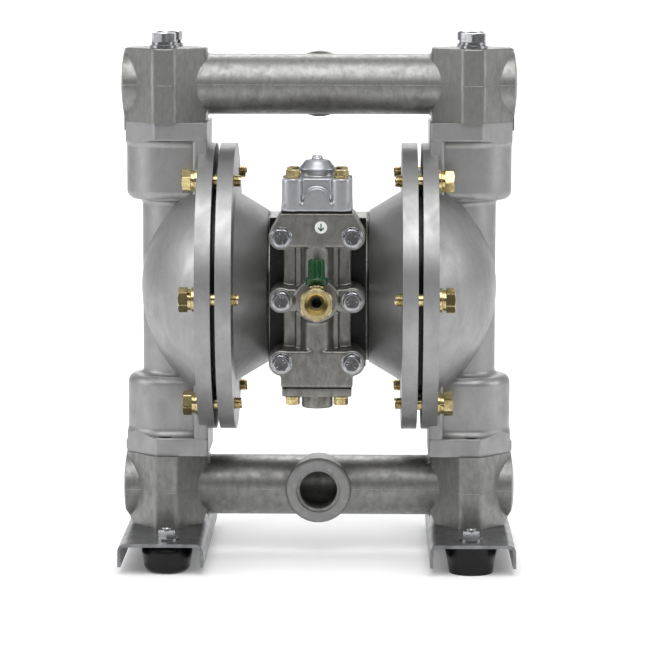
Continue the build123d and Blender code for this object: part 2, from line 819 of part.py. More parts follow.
for side_name, s in zip(("left", "right"), sides):
    for valve_name, level in zip(("suction", "discharge"), seat_levels):
        with BuildPart() as check_ball:
            with Locations((s * side_x, 0, level + ball_rest)):
                Sphere(ball_radius)
        keep(check_ball, f"{side_name}_{valve_name}_ball")

# Right air chamber: flanged cone with an end wall against the centre block
air_cone_slope = (air_cone_large - air_cone_small) / (air_flange_back - air_end)
wall_x = air_end + air_end_wall
inner_cone = air_cone_small + air_cone_slope * air_end_wall - air_cone_wall
inner_cone_large = air_cone_large - air_cone_wall
with BuildPart() as right_air_chamber:
    with BuildSketch(section):
        with BuildLine():
            Polyline((air_end, 0), (air_end, air_cone_small), (air_flange_back, air_cone_large),
                     (air_flange_back, flange_radius), (air_face, flange_radius), (air_face, 0), close=True)
        air_face_sketch = make_face()
        fillet(air_face_sketch.vertices().filter_by(lambda v: v.Z > axis_z + flange_radius - 1), flange_round)
    revolve(axis=pump_axis)
    with BuildSketch(section):
        Polygon((wall_x, 0), (wall_x, inner_cone), (air_flange_back, inner_cone_large),
                (air_face, cavity_radius), (air_face, 0), align=None)
    revolve(axis=pump_axis, mode=Mode.SUBTRACT)
    with BuildSketch(side_plane(air_end)):
        Circle(shaft_hole)
        with Locations((pilot_y, 0)):
            Circle(pilot_radius + bolt_clearance)
        with Locations((-cross_y, -port_pitch), (-cross_y, port_pitch)):
            Circle(passage)
        with PolarLocations(wall_screw_circle, 4, start_angle=45):
            Circle(wall_screw_radius + bolt_clearance)
    extrude(amount=air_end_wall, mode=Mode.SUBTRACT)
    with BuildSketch(side_plane(wall_x)):
        with PolarLocations(wall_screw_circle, 4, start_angle=45):
            Circle(wall_screw_head + bolt_clearance)
    extrude(amount=-wall_screw_head_height - slip, mode=Mode.SUBTRACT)
    with Locations(*flange_places(1, air_face)):
        Hole(m10["radius"] + slip, flange_thick * 1.5)
keep(right_air_chamber, "right_air_chamber")

with BuildPart() as left_air_chamber:
    mirror(right_air_chamber.part, about=Plane.YZ)
keep(left_air_chamber, "left_air_chamber")

with BuildPart() as centre_gaskets:
    for s in sides:
        with BuildSketch(side_plane(s * centre_half)):
            Circle(centre_radius)
            Circle(shaft_hole, mode=Mode.SUBTRACT)
            with Locations((pilot_y, 0)):
                Circle(pilot_radius + bolt_clearance, mode=Mode.SUBTRACT)
            with Locations((-cross_y, -port_pitch), (-cross_y, port_pitch)):
                Circle(passage, mode=Mode.SUBTRACT)
            with PolarLocations(wall_screw_circle, 4, start_angle=45):
                Circle(wall_screw_radius + bolt_clearance, mode=Mode.SUBTRACT)
        extrude(amount=s * centre_gasket)
keep(centre_gaskets, "centre_gaskets")

# Socket head screws that hold the air chambers to the centre block
screw_seat_x = wall_x - wall_screw_head_height - slip
with BuildPart() as air_chamber_screws:
    for s in sides:
        with BuildSketch(side_plane(s * screw_seat_x)):
            with PolarLocations(wall_screw_circle, 4, start_angle=45):
                Circle(wall_screw_head)
                RegularPolygon(wall_screw_radius, 6, mode=Mode.SUBTRACT)
        extrude(amount=s * wall_screw_head_height)
        with BuildSketch(side_plane(s * screw_seat_x)):
            with PolarLocations(wall_screw_circle, 4, start_angle=45):
                Circle(wall_screw_head)
        extrude(amount=s * wall_screw_head_height / 2)
        with BuildSketch(side_plane(s * screw_seat_x)):
            with PolarLocations(wall_screw_circle, 4, start_angle=45):
                Circle(wall_screw_radius)
        extrude(amount=-s * (screw_seat_x - centre_half + wall_screw_grip))
keep(air_chamber_screws, "air_chamber_screws")

# Centre block with the shaft bore, pilot bore, screw holes and air passages
bush_radius = shaft_radius + run + bush_wall
seal_radius = shaft_radius + run + seal_wall
pilot_bush_radius = pilot_radius + run + pilot_bush_wall
exhaust_z = 2 * port_pitch
with BuildPart() as centre_block:
    with BuildSketch(side_plane(-centre_half)):
        Circle(centre_radius)
    extrude(amount=2 * centre_half)
    with BuildSketch(side_plane(-pad_half)):
        with Locations((-pad_y / 2, (centre_radius - pad_bottom) / 2)):
            Rectangle(pad_y, centre_radius + pad_bottom)
    extrude(amount=2 * pad_half)
    split(bisect_by=front_plane(pad_y), keep=Keep.BOTTOM)
    with BuildSketch(front_plane(-muffler_boss_y)):
        with Locations((0, exhaust_z)):
            Circle(muffler_boss_radius)
    extrude(amount=muffler_boss_y - gallery_y)
    with BuildSketch(side_plane(-centre_half)):
        Circle(bush_radius + slip)
        with Locations((pilot_y, 0)):
            Circle(pilot_bush_radius + slip)
    extrude(amount=2 * centre_half, mode=Mode.SUBTRACT)
    for s in sides:
        with BuildSketch(side_plane(s * centre_half)):
            Circle(seal_radius + slip)
        extrude(amount=-s * seal_depth, mode=Mode.SUBTRACT)
        with BuildSketch(side_plane(s * centre_half)):
            with PolarLocations(wall_screw_circle, 4, start_angle=45):
                Circle(wall_screw_radius + slip)
        extrude(amount=-s * (wall_screw_grip + 1), mode=Mode.SUBTRACT)
        # one air passage to each side
        with BuildSketch(front_plane(pad_y)):
            with Locations((0, -s * port_pitch)):
                Circle(passage)
        extrude(amount=-(pad_y - cross_y + passage), mode=Mode.SUBTRACT)
        with BuildSketch(side_plane(0)):
            with Locations((-cross_y, -s * port_pitch)):
                Circle(passage)
        extrude(amount=s * centre_half, mode=Mode.SUBTRACT)
    # the upper exhaust passage runs back to the muffler, the lower one joins it by an upright gallery
    with BuildSketch(front_plane(pad_y)):
        with Locations((0, exhaust_z)):
            Circle(passage)
    extrude(amount=-(pad_y + muffler_boss_y), mode=Mode.SUBTRACT)
    with BuildSketch(front_plane(pad_y)):
        with Locations((0, -exhaust_z)):
            Circle(passage)
    extrude(amount=-(pad_y + gallery_y + passage), mode=Mode.SUBTRACT)
    with BuildSketch(Plane(origin=(0, gallery_y, axis_z - exhaust_z))):
        Circle(passage)
    extrude(amount=2 * exhaust_z, mode=Mode.SUBTRACT)
    with BuildSketch(front_plane(-muffler_boss_y)):
        with Locations((0, exhaust_z)):
            Circle(muffler_thread + slip)
    extrude(amount=muffler_nipple + 2, mode=Mode.SUBTRACT)
    with BuildSketch(front_plane(pad_y)):
        with Locations(*valve_bolt_spots):
            Circle(m8["radius"] + slip)
    extrude(amount=-valve_bolt_grip - 2, mode=Mode.SUBTRACT)
keep(centre_block, "centre_block")

# Shaft bushes and seals
bush_end = centre_half - seal_depth
with BuildPart() as shaft_bushes:
    for s in sides:
        with BuildSketch(side_plane(s * bush_end)):
            Circle(bush_radius)
            Circle(shaft_radius + run, mode=Mode.SUBTRACT)
        extrude(amount=-s * bush_length)
keep(shaft_bushes, "shaft_bushes")

with BuildPart() as shaft_seals:
    for s in sides:
        with BuildSketch(side_plane(s * (centre_half - slip))):
            Circle(seal_radius)
            Circle(shaft_radius + run, mode=Mode.SUBTRACT)
        extrude(amount=-s * (seal_depth - 2 * slip))
keep(shaft_seals, "shaft_seals")

# Diaphragm shaft with threaded ends
thread_end = fluid_face + outer_plate + shaft_nut_height + stud_show
with BuildPart() as diaphragm_shaft:
    with BuildSketch(side_plane(-inner_plate_face)):
        Circle(shaft_radius)
    extrude(amount=2 * inner_plate_face)
    with BuildSketch(side_plane(-thread_end)):
        Circle(end_thread_radius)
    extrude(amount=2 * thread_end)
    chamfer(diaphragm_shaft.edges().group_by(Axis.X)[0] + diaphragm_shaft.edges().group_by(Axis.X)[-1],
            end_thread_radius * 0.15)
keep(diaphragm_shaft, "diaphragm_shaft")


def clamp_plate(side, face, thick):
    """Round clamp plate that lies against the diaphragm at face and is rounded at its rim."""
    with BuildPart() as plate:
        with BuildSketch(side_plane(side * face)):
            Circle(plate_radius)
            Circle(end_thread_radius + slip, mode=Mode.SUBTRACT)
        extrude(amount=side * thick)
        rims = plate.edges().filter_by(GeomType.CIRCLE).filter_by(
            lambda e: e.radius > plate_radius - 1).sort_by(Axis.X)
        fillet(rims, plate_round)
    return plate.part


with BuildPart() as inner_plates:
    for s in sides:
        add(clamp_plate(s, inner_plate_face, inner_plate))
keep(inner_plates, "inner_plates")

with BuildPart() as outer_plates:
    for s in sides:
        add(clamp_plate(s, fluid_face, outer_plate))
keep(outer_plates, "outer_plates")

nut_face = fluid_face + outer_plate
with BuildPart() as shaft_nuts:
    with Locations(*[Plane(origin=(s * nut_face, 0, axis_z), z_dir=(s, 0, 0)) for s in sides]):
        add(hex_nut(shaft_nut_flats, shaft_nut_height, end_thread_radius))
keep(shaft_nuts, "shaft_nuts")

# Right diaphragm: clamped rim, clamped middle and one rolled convolution towards the fluid
half_rim = rim_thick / 2
arc_top = convolution_height + half_rim
convolution_mid = (convolution_start + diaphragm_grip) / 2
with BuildPart() as right_diaphragm:
    with BuildSketch(section.offset(0)):
        with BuildLine():
            x = diaphragm_x
            Polyline((x - half_rim, end_thread_radius + slip), (x + half_rim, end_thread_radius + slip),
                     (x + half_rim, convolution_start))
            ThreePointArc((x + half_rim, convolution_start), (x + arc_top, convolution_mid),
                          (x + half_rim, diaphragm_grip))
            Polyline((x + half_rim, diaphragm_grip), (x + half_rim, diaphragm_radius),
                     (x - half_rim, diaphragm_radius), (x - half_rim, diaphragm_grip))
            ThreePointArc((x - half_rim, diaphragm_grip), (x + arc_top - diaphragm_skin, convolution_mid),
                          (x - half_rim, convolution_start))
            Line((x - half_rim, convolution_start), (x - half_rim, end_thread_radius + slip))
        make_face()
    revolve(axis=pump_axis)
keep(right_diaphragm, "right_diaphragm")

with BuildPart() as left_diaphragm:
    mirror(right_diaphragm.part, about=Plane.YZ)
keep(left_diaphragm, "left_diaphragm")

# Pilot rod and its bushes: a plate pushes the rod over at the end of each stroke
pilot_half = inner_plate_face - stroke + pilot_throw - free
with BuildPart() as pilot_rod:
    with BuildSketch(side_plane(-pilot_half)):
        with Locations((pilot_y, 0)):
            Circle(pilot_radius)
    extrude(amount=2 * pilot_half)
    for x in (-pilot_waist_length * 1.5, pilot_waist_length / 2):
        with BuildSketch(side_plane(x)):
            with Locations((pilot_y, 0)):
                Circle(pilot_radius + 1)
                Circle(pilot_waist, mode=Mode.SUBTRACT)
        extrude(amount=pilot_waist_length, mode=Mode.SUBTRACT)
    fillet(pilot_rod.edges().group_by(Axis.X)[0] + pilot_rod.edges().group_by(Axis.X)[-1], 1)
keep(pilot_rod, "pilot_rod")

with BuildPart() as pilot_bushes:
    for s in sides:
        with BuildSketch(side_plane(s * centre_half)):
            with Locations((pilot_y, 0)):
                Circle(pilot_bush_radius)
                Circle(pilot_radius + run, mode=Mode.SUBTRACT)
        extrude(amount=-s * pilot_bush_length)
keep(pilot_bushes, "pilot_bushes")

# Air valve body: slabs with bolt bosses at top and bottom, ears at the middle, upright front rib
with BuildPart() as valve_form:
    with BuildSketch(front_plane(valve_back)):
        shoulder = (valve_bolt_x + valve_boss * sin(radians(60)), valve_bolt_z + valve_boss / 2)
        Polygon((-valve_top_half, valve_top), (-shoulder[0], shoulder[1]), (-valve_bolt_x, valve_slab_top),
                (valve_bolt_x, valve_slab_top), shoulder, (valve_top_half, valve_top), align=None)
        with Locations((0, -(valve_bottom + valve_slab_bottom) / 2)):
            Rectangle(2 * valve_bottom_half, valve_bottom - valve_slab_bottom)
        Rectangle(2 * valve_bolt_x, 2 * valve_ear_half)
        with Locations(*valve_bolt_spots):
            Circle(valve_boss)
    extrude(amount=valve_depth)
    fillet(valve_form.faces().sort_by(Axis.Y)[:3].edges(), 1.0)

with BuildPart() as air_valve_body:
    add(valve_form.part)
    with BuildSketch(front_plane(valve_back)):
        with Locations((0, (valve_top - valve_bottom) / 2)):
            Rectangle(2 * valve_core_half, valve_top + valve_bottom)
    extrude(amount=valve_core_depth)
    with BuildSketch(front_plane(valve_back)):
        with Locations((0, (valve_top - valve_bottom) / 2)):
            Rectangle(2 * valve_flank_half, valve_top + valve_bottom)
    extrude(amount=valve_flank_depth)
    with BuildSketch(Plane(origin=(0, -(valve_front - valve_rib), axis_z - valve_slab_bottom))):
        Circle(valve_rib)
        with Locations((0, valve_rib / 2)):
            Rectangle(2 * valve_rib, valve_rib)
    extrude(amount=valve_slab_bottom + valve_slab_top)
    with BuildSketch(front_plane(valve_back + valve_core_depth)):
        Circle(inlet_boss_radius)
    extrude(amount=valve_depth - valve_core_depth + inlet_boss_proud)
    fillet(air_valve_body.faces().sort_by(Axis.Y)[0].edges().filter_by(GeomType.CIRCLE), 1.2)
    with BuildSketch(Plane(origin=(0, -spool_y, axis_z - valve_bottom))):
        Circle(sleeve_radius)
    extrude(amount=valve_bottom + valve_top, mode=Mode.SUBTRACT)
    with BuildSketch(front_plane(valve_back)):
        with Locations(*[(0, k * port_pitch) for k in (-2, -1, 1, 2)]):
            Circle(passage)
    extrude(amount=spool_y - valve_back, mode=Mode.SUBTRACT)
    with BuildSketch(front_plane(inlet_base)):
        Circle(inlet_thread + slip)
    extrude(amount=-inlet_thread_length - 1, mode=Mode.SUBTRACT)
    with BuildSketch(front_plane(spool_y)):
        Circle(inlet_way)
    extrude(amount=inlet_base - spool_y, mode=Mode.SUBTRACT)
    with BuildSketch(front_plane(valve_back)):
        with Locations(*valve_bolt_spots):
            Circle(m8["radius"] + bolt_clearance)
    extrude(amount=valve_depth, mode=Mode.SUBTRACT)
    for top, direction in ((valve_top, -1), (-valve_bottom, 1)):
        with BuildSketch(Plane.XY.offset(axis_z + top)):
            with Locations(*cover_spots):
                Circle(m6["radius"] + slip)
        extrude(amount=direction * (cover_screw_grip + 1), mode=Mode.SUBTRACT)
keep(air_valve_body, "air_valve_body")

with BuildPart() as valve_body_gasket:
    with BuildSketch(front_plane(pad_y)):
        with Locations((0, (centre_radius - pad_bottom) / 2)):
            Rectangle(2 * pad_half, centre_radius + pad_bottom)
        with Locations(*valve_bolt_spots):
            Circle(m8["radius"] + bolt_clearance, mode=Mode.SUBTRACT)
        with Locations(*[(0, k * port_pitch) for k in (-2, -1, 1, 2)]):
            Circle(passage, mode=Mode.SUBTRACT)
    extrude(amount=valve_gasket)
keep(valve_body_gasket, "valve_body_gasket")

# Spool sleeve with its ports
with BuildPart() as spool_sleeve:
    with BuildSketch(Plane(origin=(0, -spool_y, axis_z - valve_bottom))):
        Circle(sleeve_radius - slip)
        Circle(spool_radius + run, mode=Mode.SUBTRACT)
    extrude(amount=valve_bottom + valve_top)
    with BuildSketch(front_plane(spool_y - sleeve_radius - 1)):
        with Locations(*[(0, k * port_pitch) for k in (-2, -1, 1, 2)]):
            Circle(inlet_way)
    extrude(amount=sleeve_radius + 1, mode=Mode.SUBTRACT)
    with BuildSketch(front_plane(spool_y)):
        Circle(supply_way)
    extrude(amount=sleeve_radius + 1, mode=Mode.SUBTRACT)
keep(spool_sleeve, "spool_sleeve")

# Spool at its lower stop: five lands, and a tail at each end that meets the covers
tail_foot = -valve_bottom - cover_gasket - bottom_bore_depth + free
tail_head = valve_top + cover_gasket + cover_bore_depth - spool_throw - free
with BuildPart() as valve_spool:
    with BuildSketch(Plane(origin=(0, -spool_y, axis_z + tail_foot))):
        Circle(spool_tail)
    extrude(amount=tail_head - tail_foot)
    with BuildSketch(Plane(origin=(0, -spool_y, axis_z + land_levels[0]))):
        Circle(spool_groove)
    extrude(amount=land_levels[-1] - land_levels[0])
    for level in land_levels:
        with BuildSketch(Plane(origin=(0, -spool_y, axis_z + level - land_width / 2))):
            Circle(spool_radius - slip)
        extrude(amount=land_width)
        with BuildSketch(Plane(origin=(0, -spool_y, axis_z + level - ring_width / 2))):
            Circle(spool_radius)
            Circle(spool_radius - ring_depth, mode=Mode.SUBTRACT)
        extrude(amount=ring_width, mode=Mode.SUBTRACT)
keep(valve_spool, "valve_spool")

with BuildPart() as spool_seal_rings:
    for level in land_levels:
        with BuildSketch(Plane(origin=(0, -spool_y, axis_z + level - ring_width / 2))):
            Circle(spool_radius)
            Circle(spool_radius - ring_depth, mode=Mode.SUBTRACT)
        extrude(amount=ring_width)
keep(spool_seal_rings, "spool_seal_rings")

# Cover gaskets
with BuildPart() as valve_cover_gaskets:
    for low, half_x, half_y in ((valve_top, top_cover_half_x, top_cover_half_y),
                                (-valve_bottom - cover_gasket, bottom_cover_half_x, bottom_cover_half_y)):
        with BuildSketch(Plane(origin=(0, -spool_y, axis_z + low))):
            Rectangle(2 * half_x, 2 * half_y)
            Circle(cover_bore, mode=Mode.SUBTRACT)
            with GridLocations(2 * cover_screw_x, 2 * cover_screw_y, 2, 2):
                Circle(m6["radius"] + bolt_clearance, mode=Mode.SUBTRACT)
        extrude(amount=cover_gasket)
keep(valve_cover_gaskets, "valve_cover_gaskets")

# Top cover: plate, four screw columns, front arch, round barrel and crown
cover_base = axis_z + valve_top + cover_gasket
with BuildPart() as valve_top_cover:
    with BuildSketch(Plane(origin=(0, -spool_y, cover_base))):
        RectangleRounded(2 * top_cover_half_x, 2 * top_cover_half_y, 3)
    extrude(amount=top_cover_plate)
    with BuildSketch(Plane(origin=(0, -spool_y, cover_base))):
        Rectangle(2 * (top_cover_half_x - 2 * top_cover_wall), 2 * (top_cover_half_y - top_cover_wall))
        with GridLocations(2 * cover_screw_x, 2 * cover_screw_y, 2, 2):
            Circle(cover_column)
        for x in (-1, 1):
            for y in (-1, 1):
                with Locations((x * (top_cover_half_x + cover_screw_x) / 2 - x * 0.4,
                                y * (cover_screw_y + cover_column / 4))):
                    Rectangle(top_cover_half_x - cover_screw_x, cover_column * 0.8)
    extrude(amount=top_cover_height)
    with BuildSketch(front_plane(spool_y - top_cover_half_y)):
        with Locations((0, cover_base - axis_z + arch_top - arch_radius)):
            Circle(arch_radius)
        with Locations((0, cover_base - axis_z + (arch_top - arch_radius) / 2)):
            Rectangle(2 * arch_radius, arch_top - arch_radius)
        with Locations((0, cover_base - axis_z - arch_radius / 2)):
            Rectangle(2 * arch_radius, arch_radius, mode=Mode.SUBTRACT)
    extrude(amount=2 * top_cover_half_y)
    with BuildSketch(Plane(origin=(0, -spool_y, 0), x_dir=(1, 0, 0), z_dir=(0, -1, 0))):
        with BuildLine():
            z = cover_base
            Polyline((0, z), (barrel_radius, z), (barrel_radius, z + crown_low - 2), (crown_radius, z + crown_low),
                     (crown_top_radius, z + crown_top), (nub_radius, z + crown_top),
                     (nub_radius - 0.5, z + crown_top + nub_height), (0, z + crown_top + nub_height), close=True)
        make_face()
    revolve(axis=Axis((0, -spool_y, 0), (0, 0, 1)))
    with BuildSketch(Plane(origin=(0, -spool_y, cover_base))):
        Circle(cover_bore)
    extrude(amount=cover_bore_depth, mode=Mode.SUBTRACT)
    with BuildSketch(Plane(origin=(0, -spool_y, cover_base))):
        with GridLocations(2 * cover_screw_x, 2 * cover_screw_y, 2, 2):
            Circle(m6["radius"] + bolt_clearance)
    extrude(amount=top_cover_height, mode=Mode.SUBTRACT)
keep(valve_top_cover, "valve_top_cover")

# Bottom cover: plate with a round boss
cover_floor = axis_z - valve_bottom - cover_gasket
with BuildPart() as valve_bottom_cover:
    with BuildSketch(Plane(origin=(0, -spool_y, cover_floor))):
        RectangleRounded(2 * bottom_cover_half_x, 2 * bottom_cover_half_y, 3)
    extrude(amount=-bottom_cover_plate)
    with BuildSketch(Plane(origin=(0, -spool_y, cover_floor - bottom_cover_plate))):
        Circle(bottom_boss_radius)
    extrude(amount=-bottom_boss_height)
    fillet(valve_bottom_cover.edges().sort_by(Axis.Z)[0], 1.5)
    with BuildSketch(Plane(origin=(0, -spool_y, cover_floor))):
        Circle(cover_bore)
    extrude(amount=-bottom_bore_depth, mode=Mode.SUBTRACT)
    with BuildSketch(Plane(origin=(0, -spool_y, cover_floor))):
        with GridLocations(2 * cover_screw_x, 2 * cover_screw_y, 2, 2):
            Circle(m6["radius"] + bolt_clearance)
    extrude(amount=-bottom_cover_plate, mode=Mode.SUBTRACT)
keep(valve_bottom_cover, "valve_bottom_cover")

# Manifold bolts
upper_stack = m12_washer["thick"] + m12_washer["spring_thick"]
upper_length = upper_stack + block_height + ledge_thick - manifold_bolt_short
with BuildPart() as manifold_bolts:
    with Locations(*[p.offset(upper_stack) for p in upper_bolt_places]):
        add(hex_screw(m12, upper_length))
    with Locations(*[p.offset(upper_stack) for p in lower_bolt_places]):
        add(hex_screw(m12, upper_length + sheet))
keep(manifold_bolts, "manifold_bolts")

with BuildPart() as manifold_flat_washers:
    with Locations(*upper_bolt_places, *lower_bolt_places):
        add(washer(m12_washer["radius"], m12["radius"], m12_washer["thick"]))
keep(manifold_flat_washers, "manifold_flat_washers")

with BuildPart() as manifold_spring_washers:
    with Locations(*[p.offset(m12_washer["thick"]) for p in upper_bolt_places + lower_bolt_places]):
        add(spring_washer(m12_washer["spring_radius"], m12["radius"], m12_washer["spring_thick"]))
keep(manifold_spring_washers, "manifold_spring_washers")

# Chamber bolts
flange_stack = m10_washer["thick"] + m10_washer["spring_thick"]
flange_bolt_length = flange_stack + 2 * flange_thick + rim_thick + flange_bolt_show
flange_spots = flange_places(-1, fluid_flange_back) + flange_places(1, fluid_flange_back)
with BuildPart() as chamber_bolts:
    with Locations(*[p.offset(flange_stack) for p in flange_spots]):
        add(hex_screw(m10, flange_bolt_length))
keep(chamber_bolts, "chamber_bolts")

with BuildPart() as chamber_flat_washers:
    with Locations(*flange_spots):
        add(washer(m10_washer["radius"], m10["radius"], m10_washer["thick"]))
keep(chamber_flat_washers, "chamber_flat_washers")

with BuildPart() as chamber_spring_washers:
    with Locations(*[p.offset(m10_washer["thick"]) for p in flange_spots]):
        add(spring_washer(m10_washer["spring_radius"], m10["radius"], m10_washer["spring_thick"]))
keep(chamber_spring_washers, "chamber_spring_washers")

# Air valve bolts
valve_stack = m8_washer["thick"] + m8_washer["spring_thick"]
valve_front_plane = front_plane(valve_front)
valve_places = [
    Plane(origin=(x, -valve_front, axis_z + z), x_dir=(0, 0, 1), z_dir=(0, -1, 0)) for x, z in valve_bolt_spots
]
with BuildPart() as valve_body_bolts:
    with Locations(*[p.offset(valve_stack) for p in valve_places]):
        add(hex_screw(m8, valve_stack + valve_depth + valve_gasket + valve_bolt_grip))
keep(valve_body_bolts, "valve_body_bolts")

with BuildPart() as valve_bolt_flat_washers:
    with Locations(*valve_places):
        add(washer(m8_washer["radius"], m8["radius"], m8_washer["thick"]))
keep(valve_bolt_flat_washers, "valve_bolt_flat_washers")

with BuildPart() as valve_bolt_spring_washers:
    with Locations(*[p.offset(m8_washer["thick"]) for p in valve_places]):
        add(spring_washer(m8_washer["spring_radius"], m8["radius"], m8_washer["spring_thick"]))
keep(valve_bolt_spring_washers, "valve_bolt_spring_washers")

# Cover screws
top_screw_z = cover_base + top_cover_height
top_screw_places = [Plane(origin=(x, y, top_screw_z)) for x, y in cover_spots]
bottom_screw_places = [
    Plane(origin=(x, y, cover_floor - bottom_cover_plate), z_dir=(0, 0, -1)) for x, y in cover_spots
]
with BuildPart() as top_cover_screws:
    with Locations(*[p.offset(m6_washer["thick"]) for p in top_screw_places]):
        add(hex_screw(m6, m6_washer["thick"] + top_cover_height + cover_gasket + cover_screw_grip))
keep(top_cover_screws, "top_cover_screws")

with BuildPart() as bottom_cover_screws:
    with Locations(*[p.offset(m6_washer["thick"]) for p in bottom_screw_places]):
        add(hex_screw(m6, m6_washer["thick"] + bottom_cover_plate + cover_gasket + cover_screw_grip))
keep(bottom_cover_screws, "bottom_cover_screws")

with BuildPart() as cover_screw_washers:
    with Locations(*top_screw_places, *bottom_screw_places):
        add(washer(m6_washer["radius"], m6["radius"], m6_washer["thick"]))
keep(cover_screw_washers, "cover_screw_washers")

# Air inlet: brass ball valve body
inlet_cavity = inlet_ball_radius + slip * 3
front_seat_y = inlet_ball_y + inlet_ball_radius
rear_seat_y = inlet_ball_y - inlet_ball_radius
with BuildPart() as inlet_valve_body:
    with BuildSketch(front_plane(inlet_base - inlet_thread_length)):
        Circle(inlet_thread)
    extrude(amount=inlet_thread_length)
    with BuildSketch(front_plane(inlet_base)):
        Circle(inlet_body_radius)
    extrude(amount=inlet_face_y - inlet_hex_length - inlet_base)
    with BuildSketch(front_plane(inlet_face_y - inlet_hex_length)):
        RegularPolygon(inlet_flats / 2, 6, major_radius=False)
        Circle(inlet_corner_radius, mode=Mode.INTERSECT)
    extrude(amount=inlet_hex_length)
    fillet(inlet_valve_body.faces().sort_by(Axis.Y)[0].edges(), 0.8)
    with BuildSketch(Plane(origin=(0, -inlet_ball_y, axis_z))):
        Circle(bonnet_radius)
    extrude(amount=bonnet_top)
    with BuildSketch(front_plane(inlet_face_y)):
        Circle(inlet_bore)
    extrude(amount=-inlet_bore_depth, mode=Mode.SUBTRACT)
    with BuildSketch(front_plane(inlet_base - inlet_thread_length)):
        Circle(inlet_way)
    extrude(amount=inlet_face_y - inlet_base + inlet_thread_length, mode=Mode.SUBTRACT)
    with BuildSketch(front_plane(rear_seat_y - free)):
        Circle(inlet_cavity)
    extrude(amount=2 * (inlet_ball_radius + free), mode=Mode.SUBTRACT)
    with BuildSketch(Plane(origin=(0, -inlet_ball_y, axis_z))):
        Circle(stem_radius + run)
    extrude(amount=bonnet_top, mode=Mode.SUBTRACT)
    chamfer(inlet_valve_body.faces().sort_by(Axis.Y)[0].edges().filter_by(GeomType.CIRCLE).sort_by(
        lambda e: e.radius)[0], 1.2)
keep(inlet_valve_body, "inlet_valve_body")

with BuildPart() as inlet_ball_seats:
    for start, depth in ((rear_seat_y - free, inlet_seat), (front_seat_y + free - inlet_seat, inlet_seat)):
        with BuildSketch(front_plane(start)):
            Circle(inlet_cavity - slip)
            Circle(inlet_way, mode=Mode.SUBTRACT)
        extrude(amount=depth)
    with Locations((0, -inlet_ball_y, axis_z)):
        Sphere(inlet_ball_radius + slip, mode=Mode.SUBTRACT)
keep(inlet_ball_seats, "inlet_ball_seats")

with BuildPart() as inlet_valve_ball:
    with Locations((0, -inlet_ball_y, axis_z)):
        Sphere(inlet_ball_radius)
    with BuildSketch(front_plane(inlet_ball_y - inlet_ball_radius)):
        Circle(inlet_way)
    extrude(amount=2 * inlet_ball_radius, mode=Mode.SUBTRACT)
    with BuildSketch(Plane(origin=(0, -inlet_ball_y, axis_z + inlet_ball_radius - 1.5))):
        Rectangle(3 * inlet_ball_radius, stem_radius)
    extrude(amount=2, mode=Mode.SUBTRACT)
keep(inlet_valve_ball, "inlet_valve_ball")

handle_base = bonnet_top + free
with BuildPart() as inlet_valve_stem:
    with BuildSketch(Plane(origin=(0, -inlet_ball_y, axis_z + inlet_ball_radius))):
        Circle(stem_radius)
    extrude(amount=stem_top - inlet_ball_radius)
    with BuildSketch(Plane(origin=(0, -inlet_ball_y, axis_z + inlet_ball_radius - 1.3))):
        Circle(stem_radius)
        Rectangle(3 * stem_radius, stem_radius - 2 * slip, mode=Mode.INTERSECT)
    extrude(amount=1.5)
keep(inlet_valve_stem, "inlet_valve_stem")

with BuildPart() as inlet_handle:
    with BuildSketch(Plane(origin=(0, -inlet_ball_y, axis_z + handle_base))):
        Circle(collar_radius)
    extrude(amount=collar_height)
    fillet(inlet_handle.edges().group_by(Axis.Z)[-1], 0.6)
    with BuildSketch(Plane(origin=(0, -inlet_ball_y, axis_z + handle_base + collar_height))):
        Circle(grip_radius)
        with PolarLocations(grip_radius, grip_flutes, start_angle=180 / grip_flutes):
            Circle(flute_radius, mode=Mode.SUBTRACT)
    extrude(amount=grip_height)
    with BuildSketch(Plane(origin=(0, -inlet_ball_y, axis_z + handle_base + collar_height + grip_height))):
        Circle(grip_radius - 2)
        Rectangle(2.4, 2 * grip_radius, mode=Mode.SUBTRACT)
    extrude(amount=-grip_recess, mode=Mode.SUBTRACT)
    with BuildSketch(Plane(origin=(0, -inlet_ball_y, axis_z + handle_base))):
        with Locations((0, -collar_radius)):
            Rectangle(collar_radius, collar_radius * 0.7)
    extrude(amount=collar_height * 0.75, mode=Mode.SUBTRACT)
    with BuildSketch(Plane(origin=(0, -inlet_ball_y, axis_z + handle_base))):
        Circle(stem_radius + slip)
    extrude(amount=stem_top - handle_base + slip, mode=Mode.SUBTRACT)
keep(inlet_handle, "inlet_handle")

# Round label on the valve body
with BuildPart() as round_label:
    with BuildSketch(front_plane(valve_front)):
        with Locations((label_x, label_z)):
            Circle(label_radius)
    extrude(amount=label_thick)
keep(round_label, "round_label")

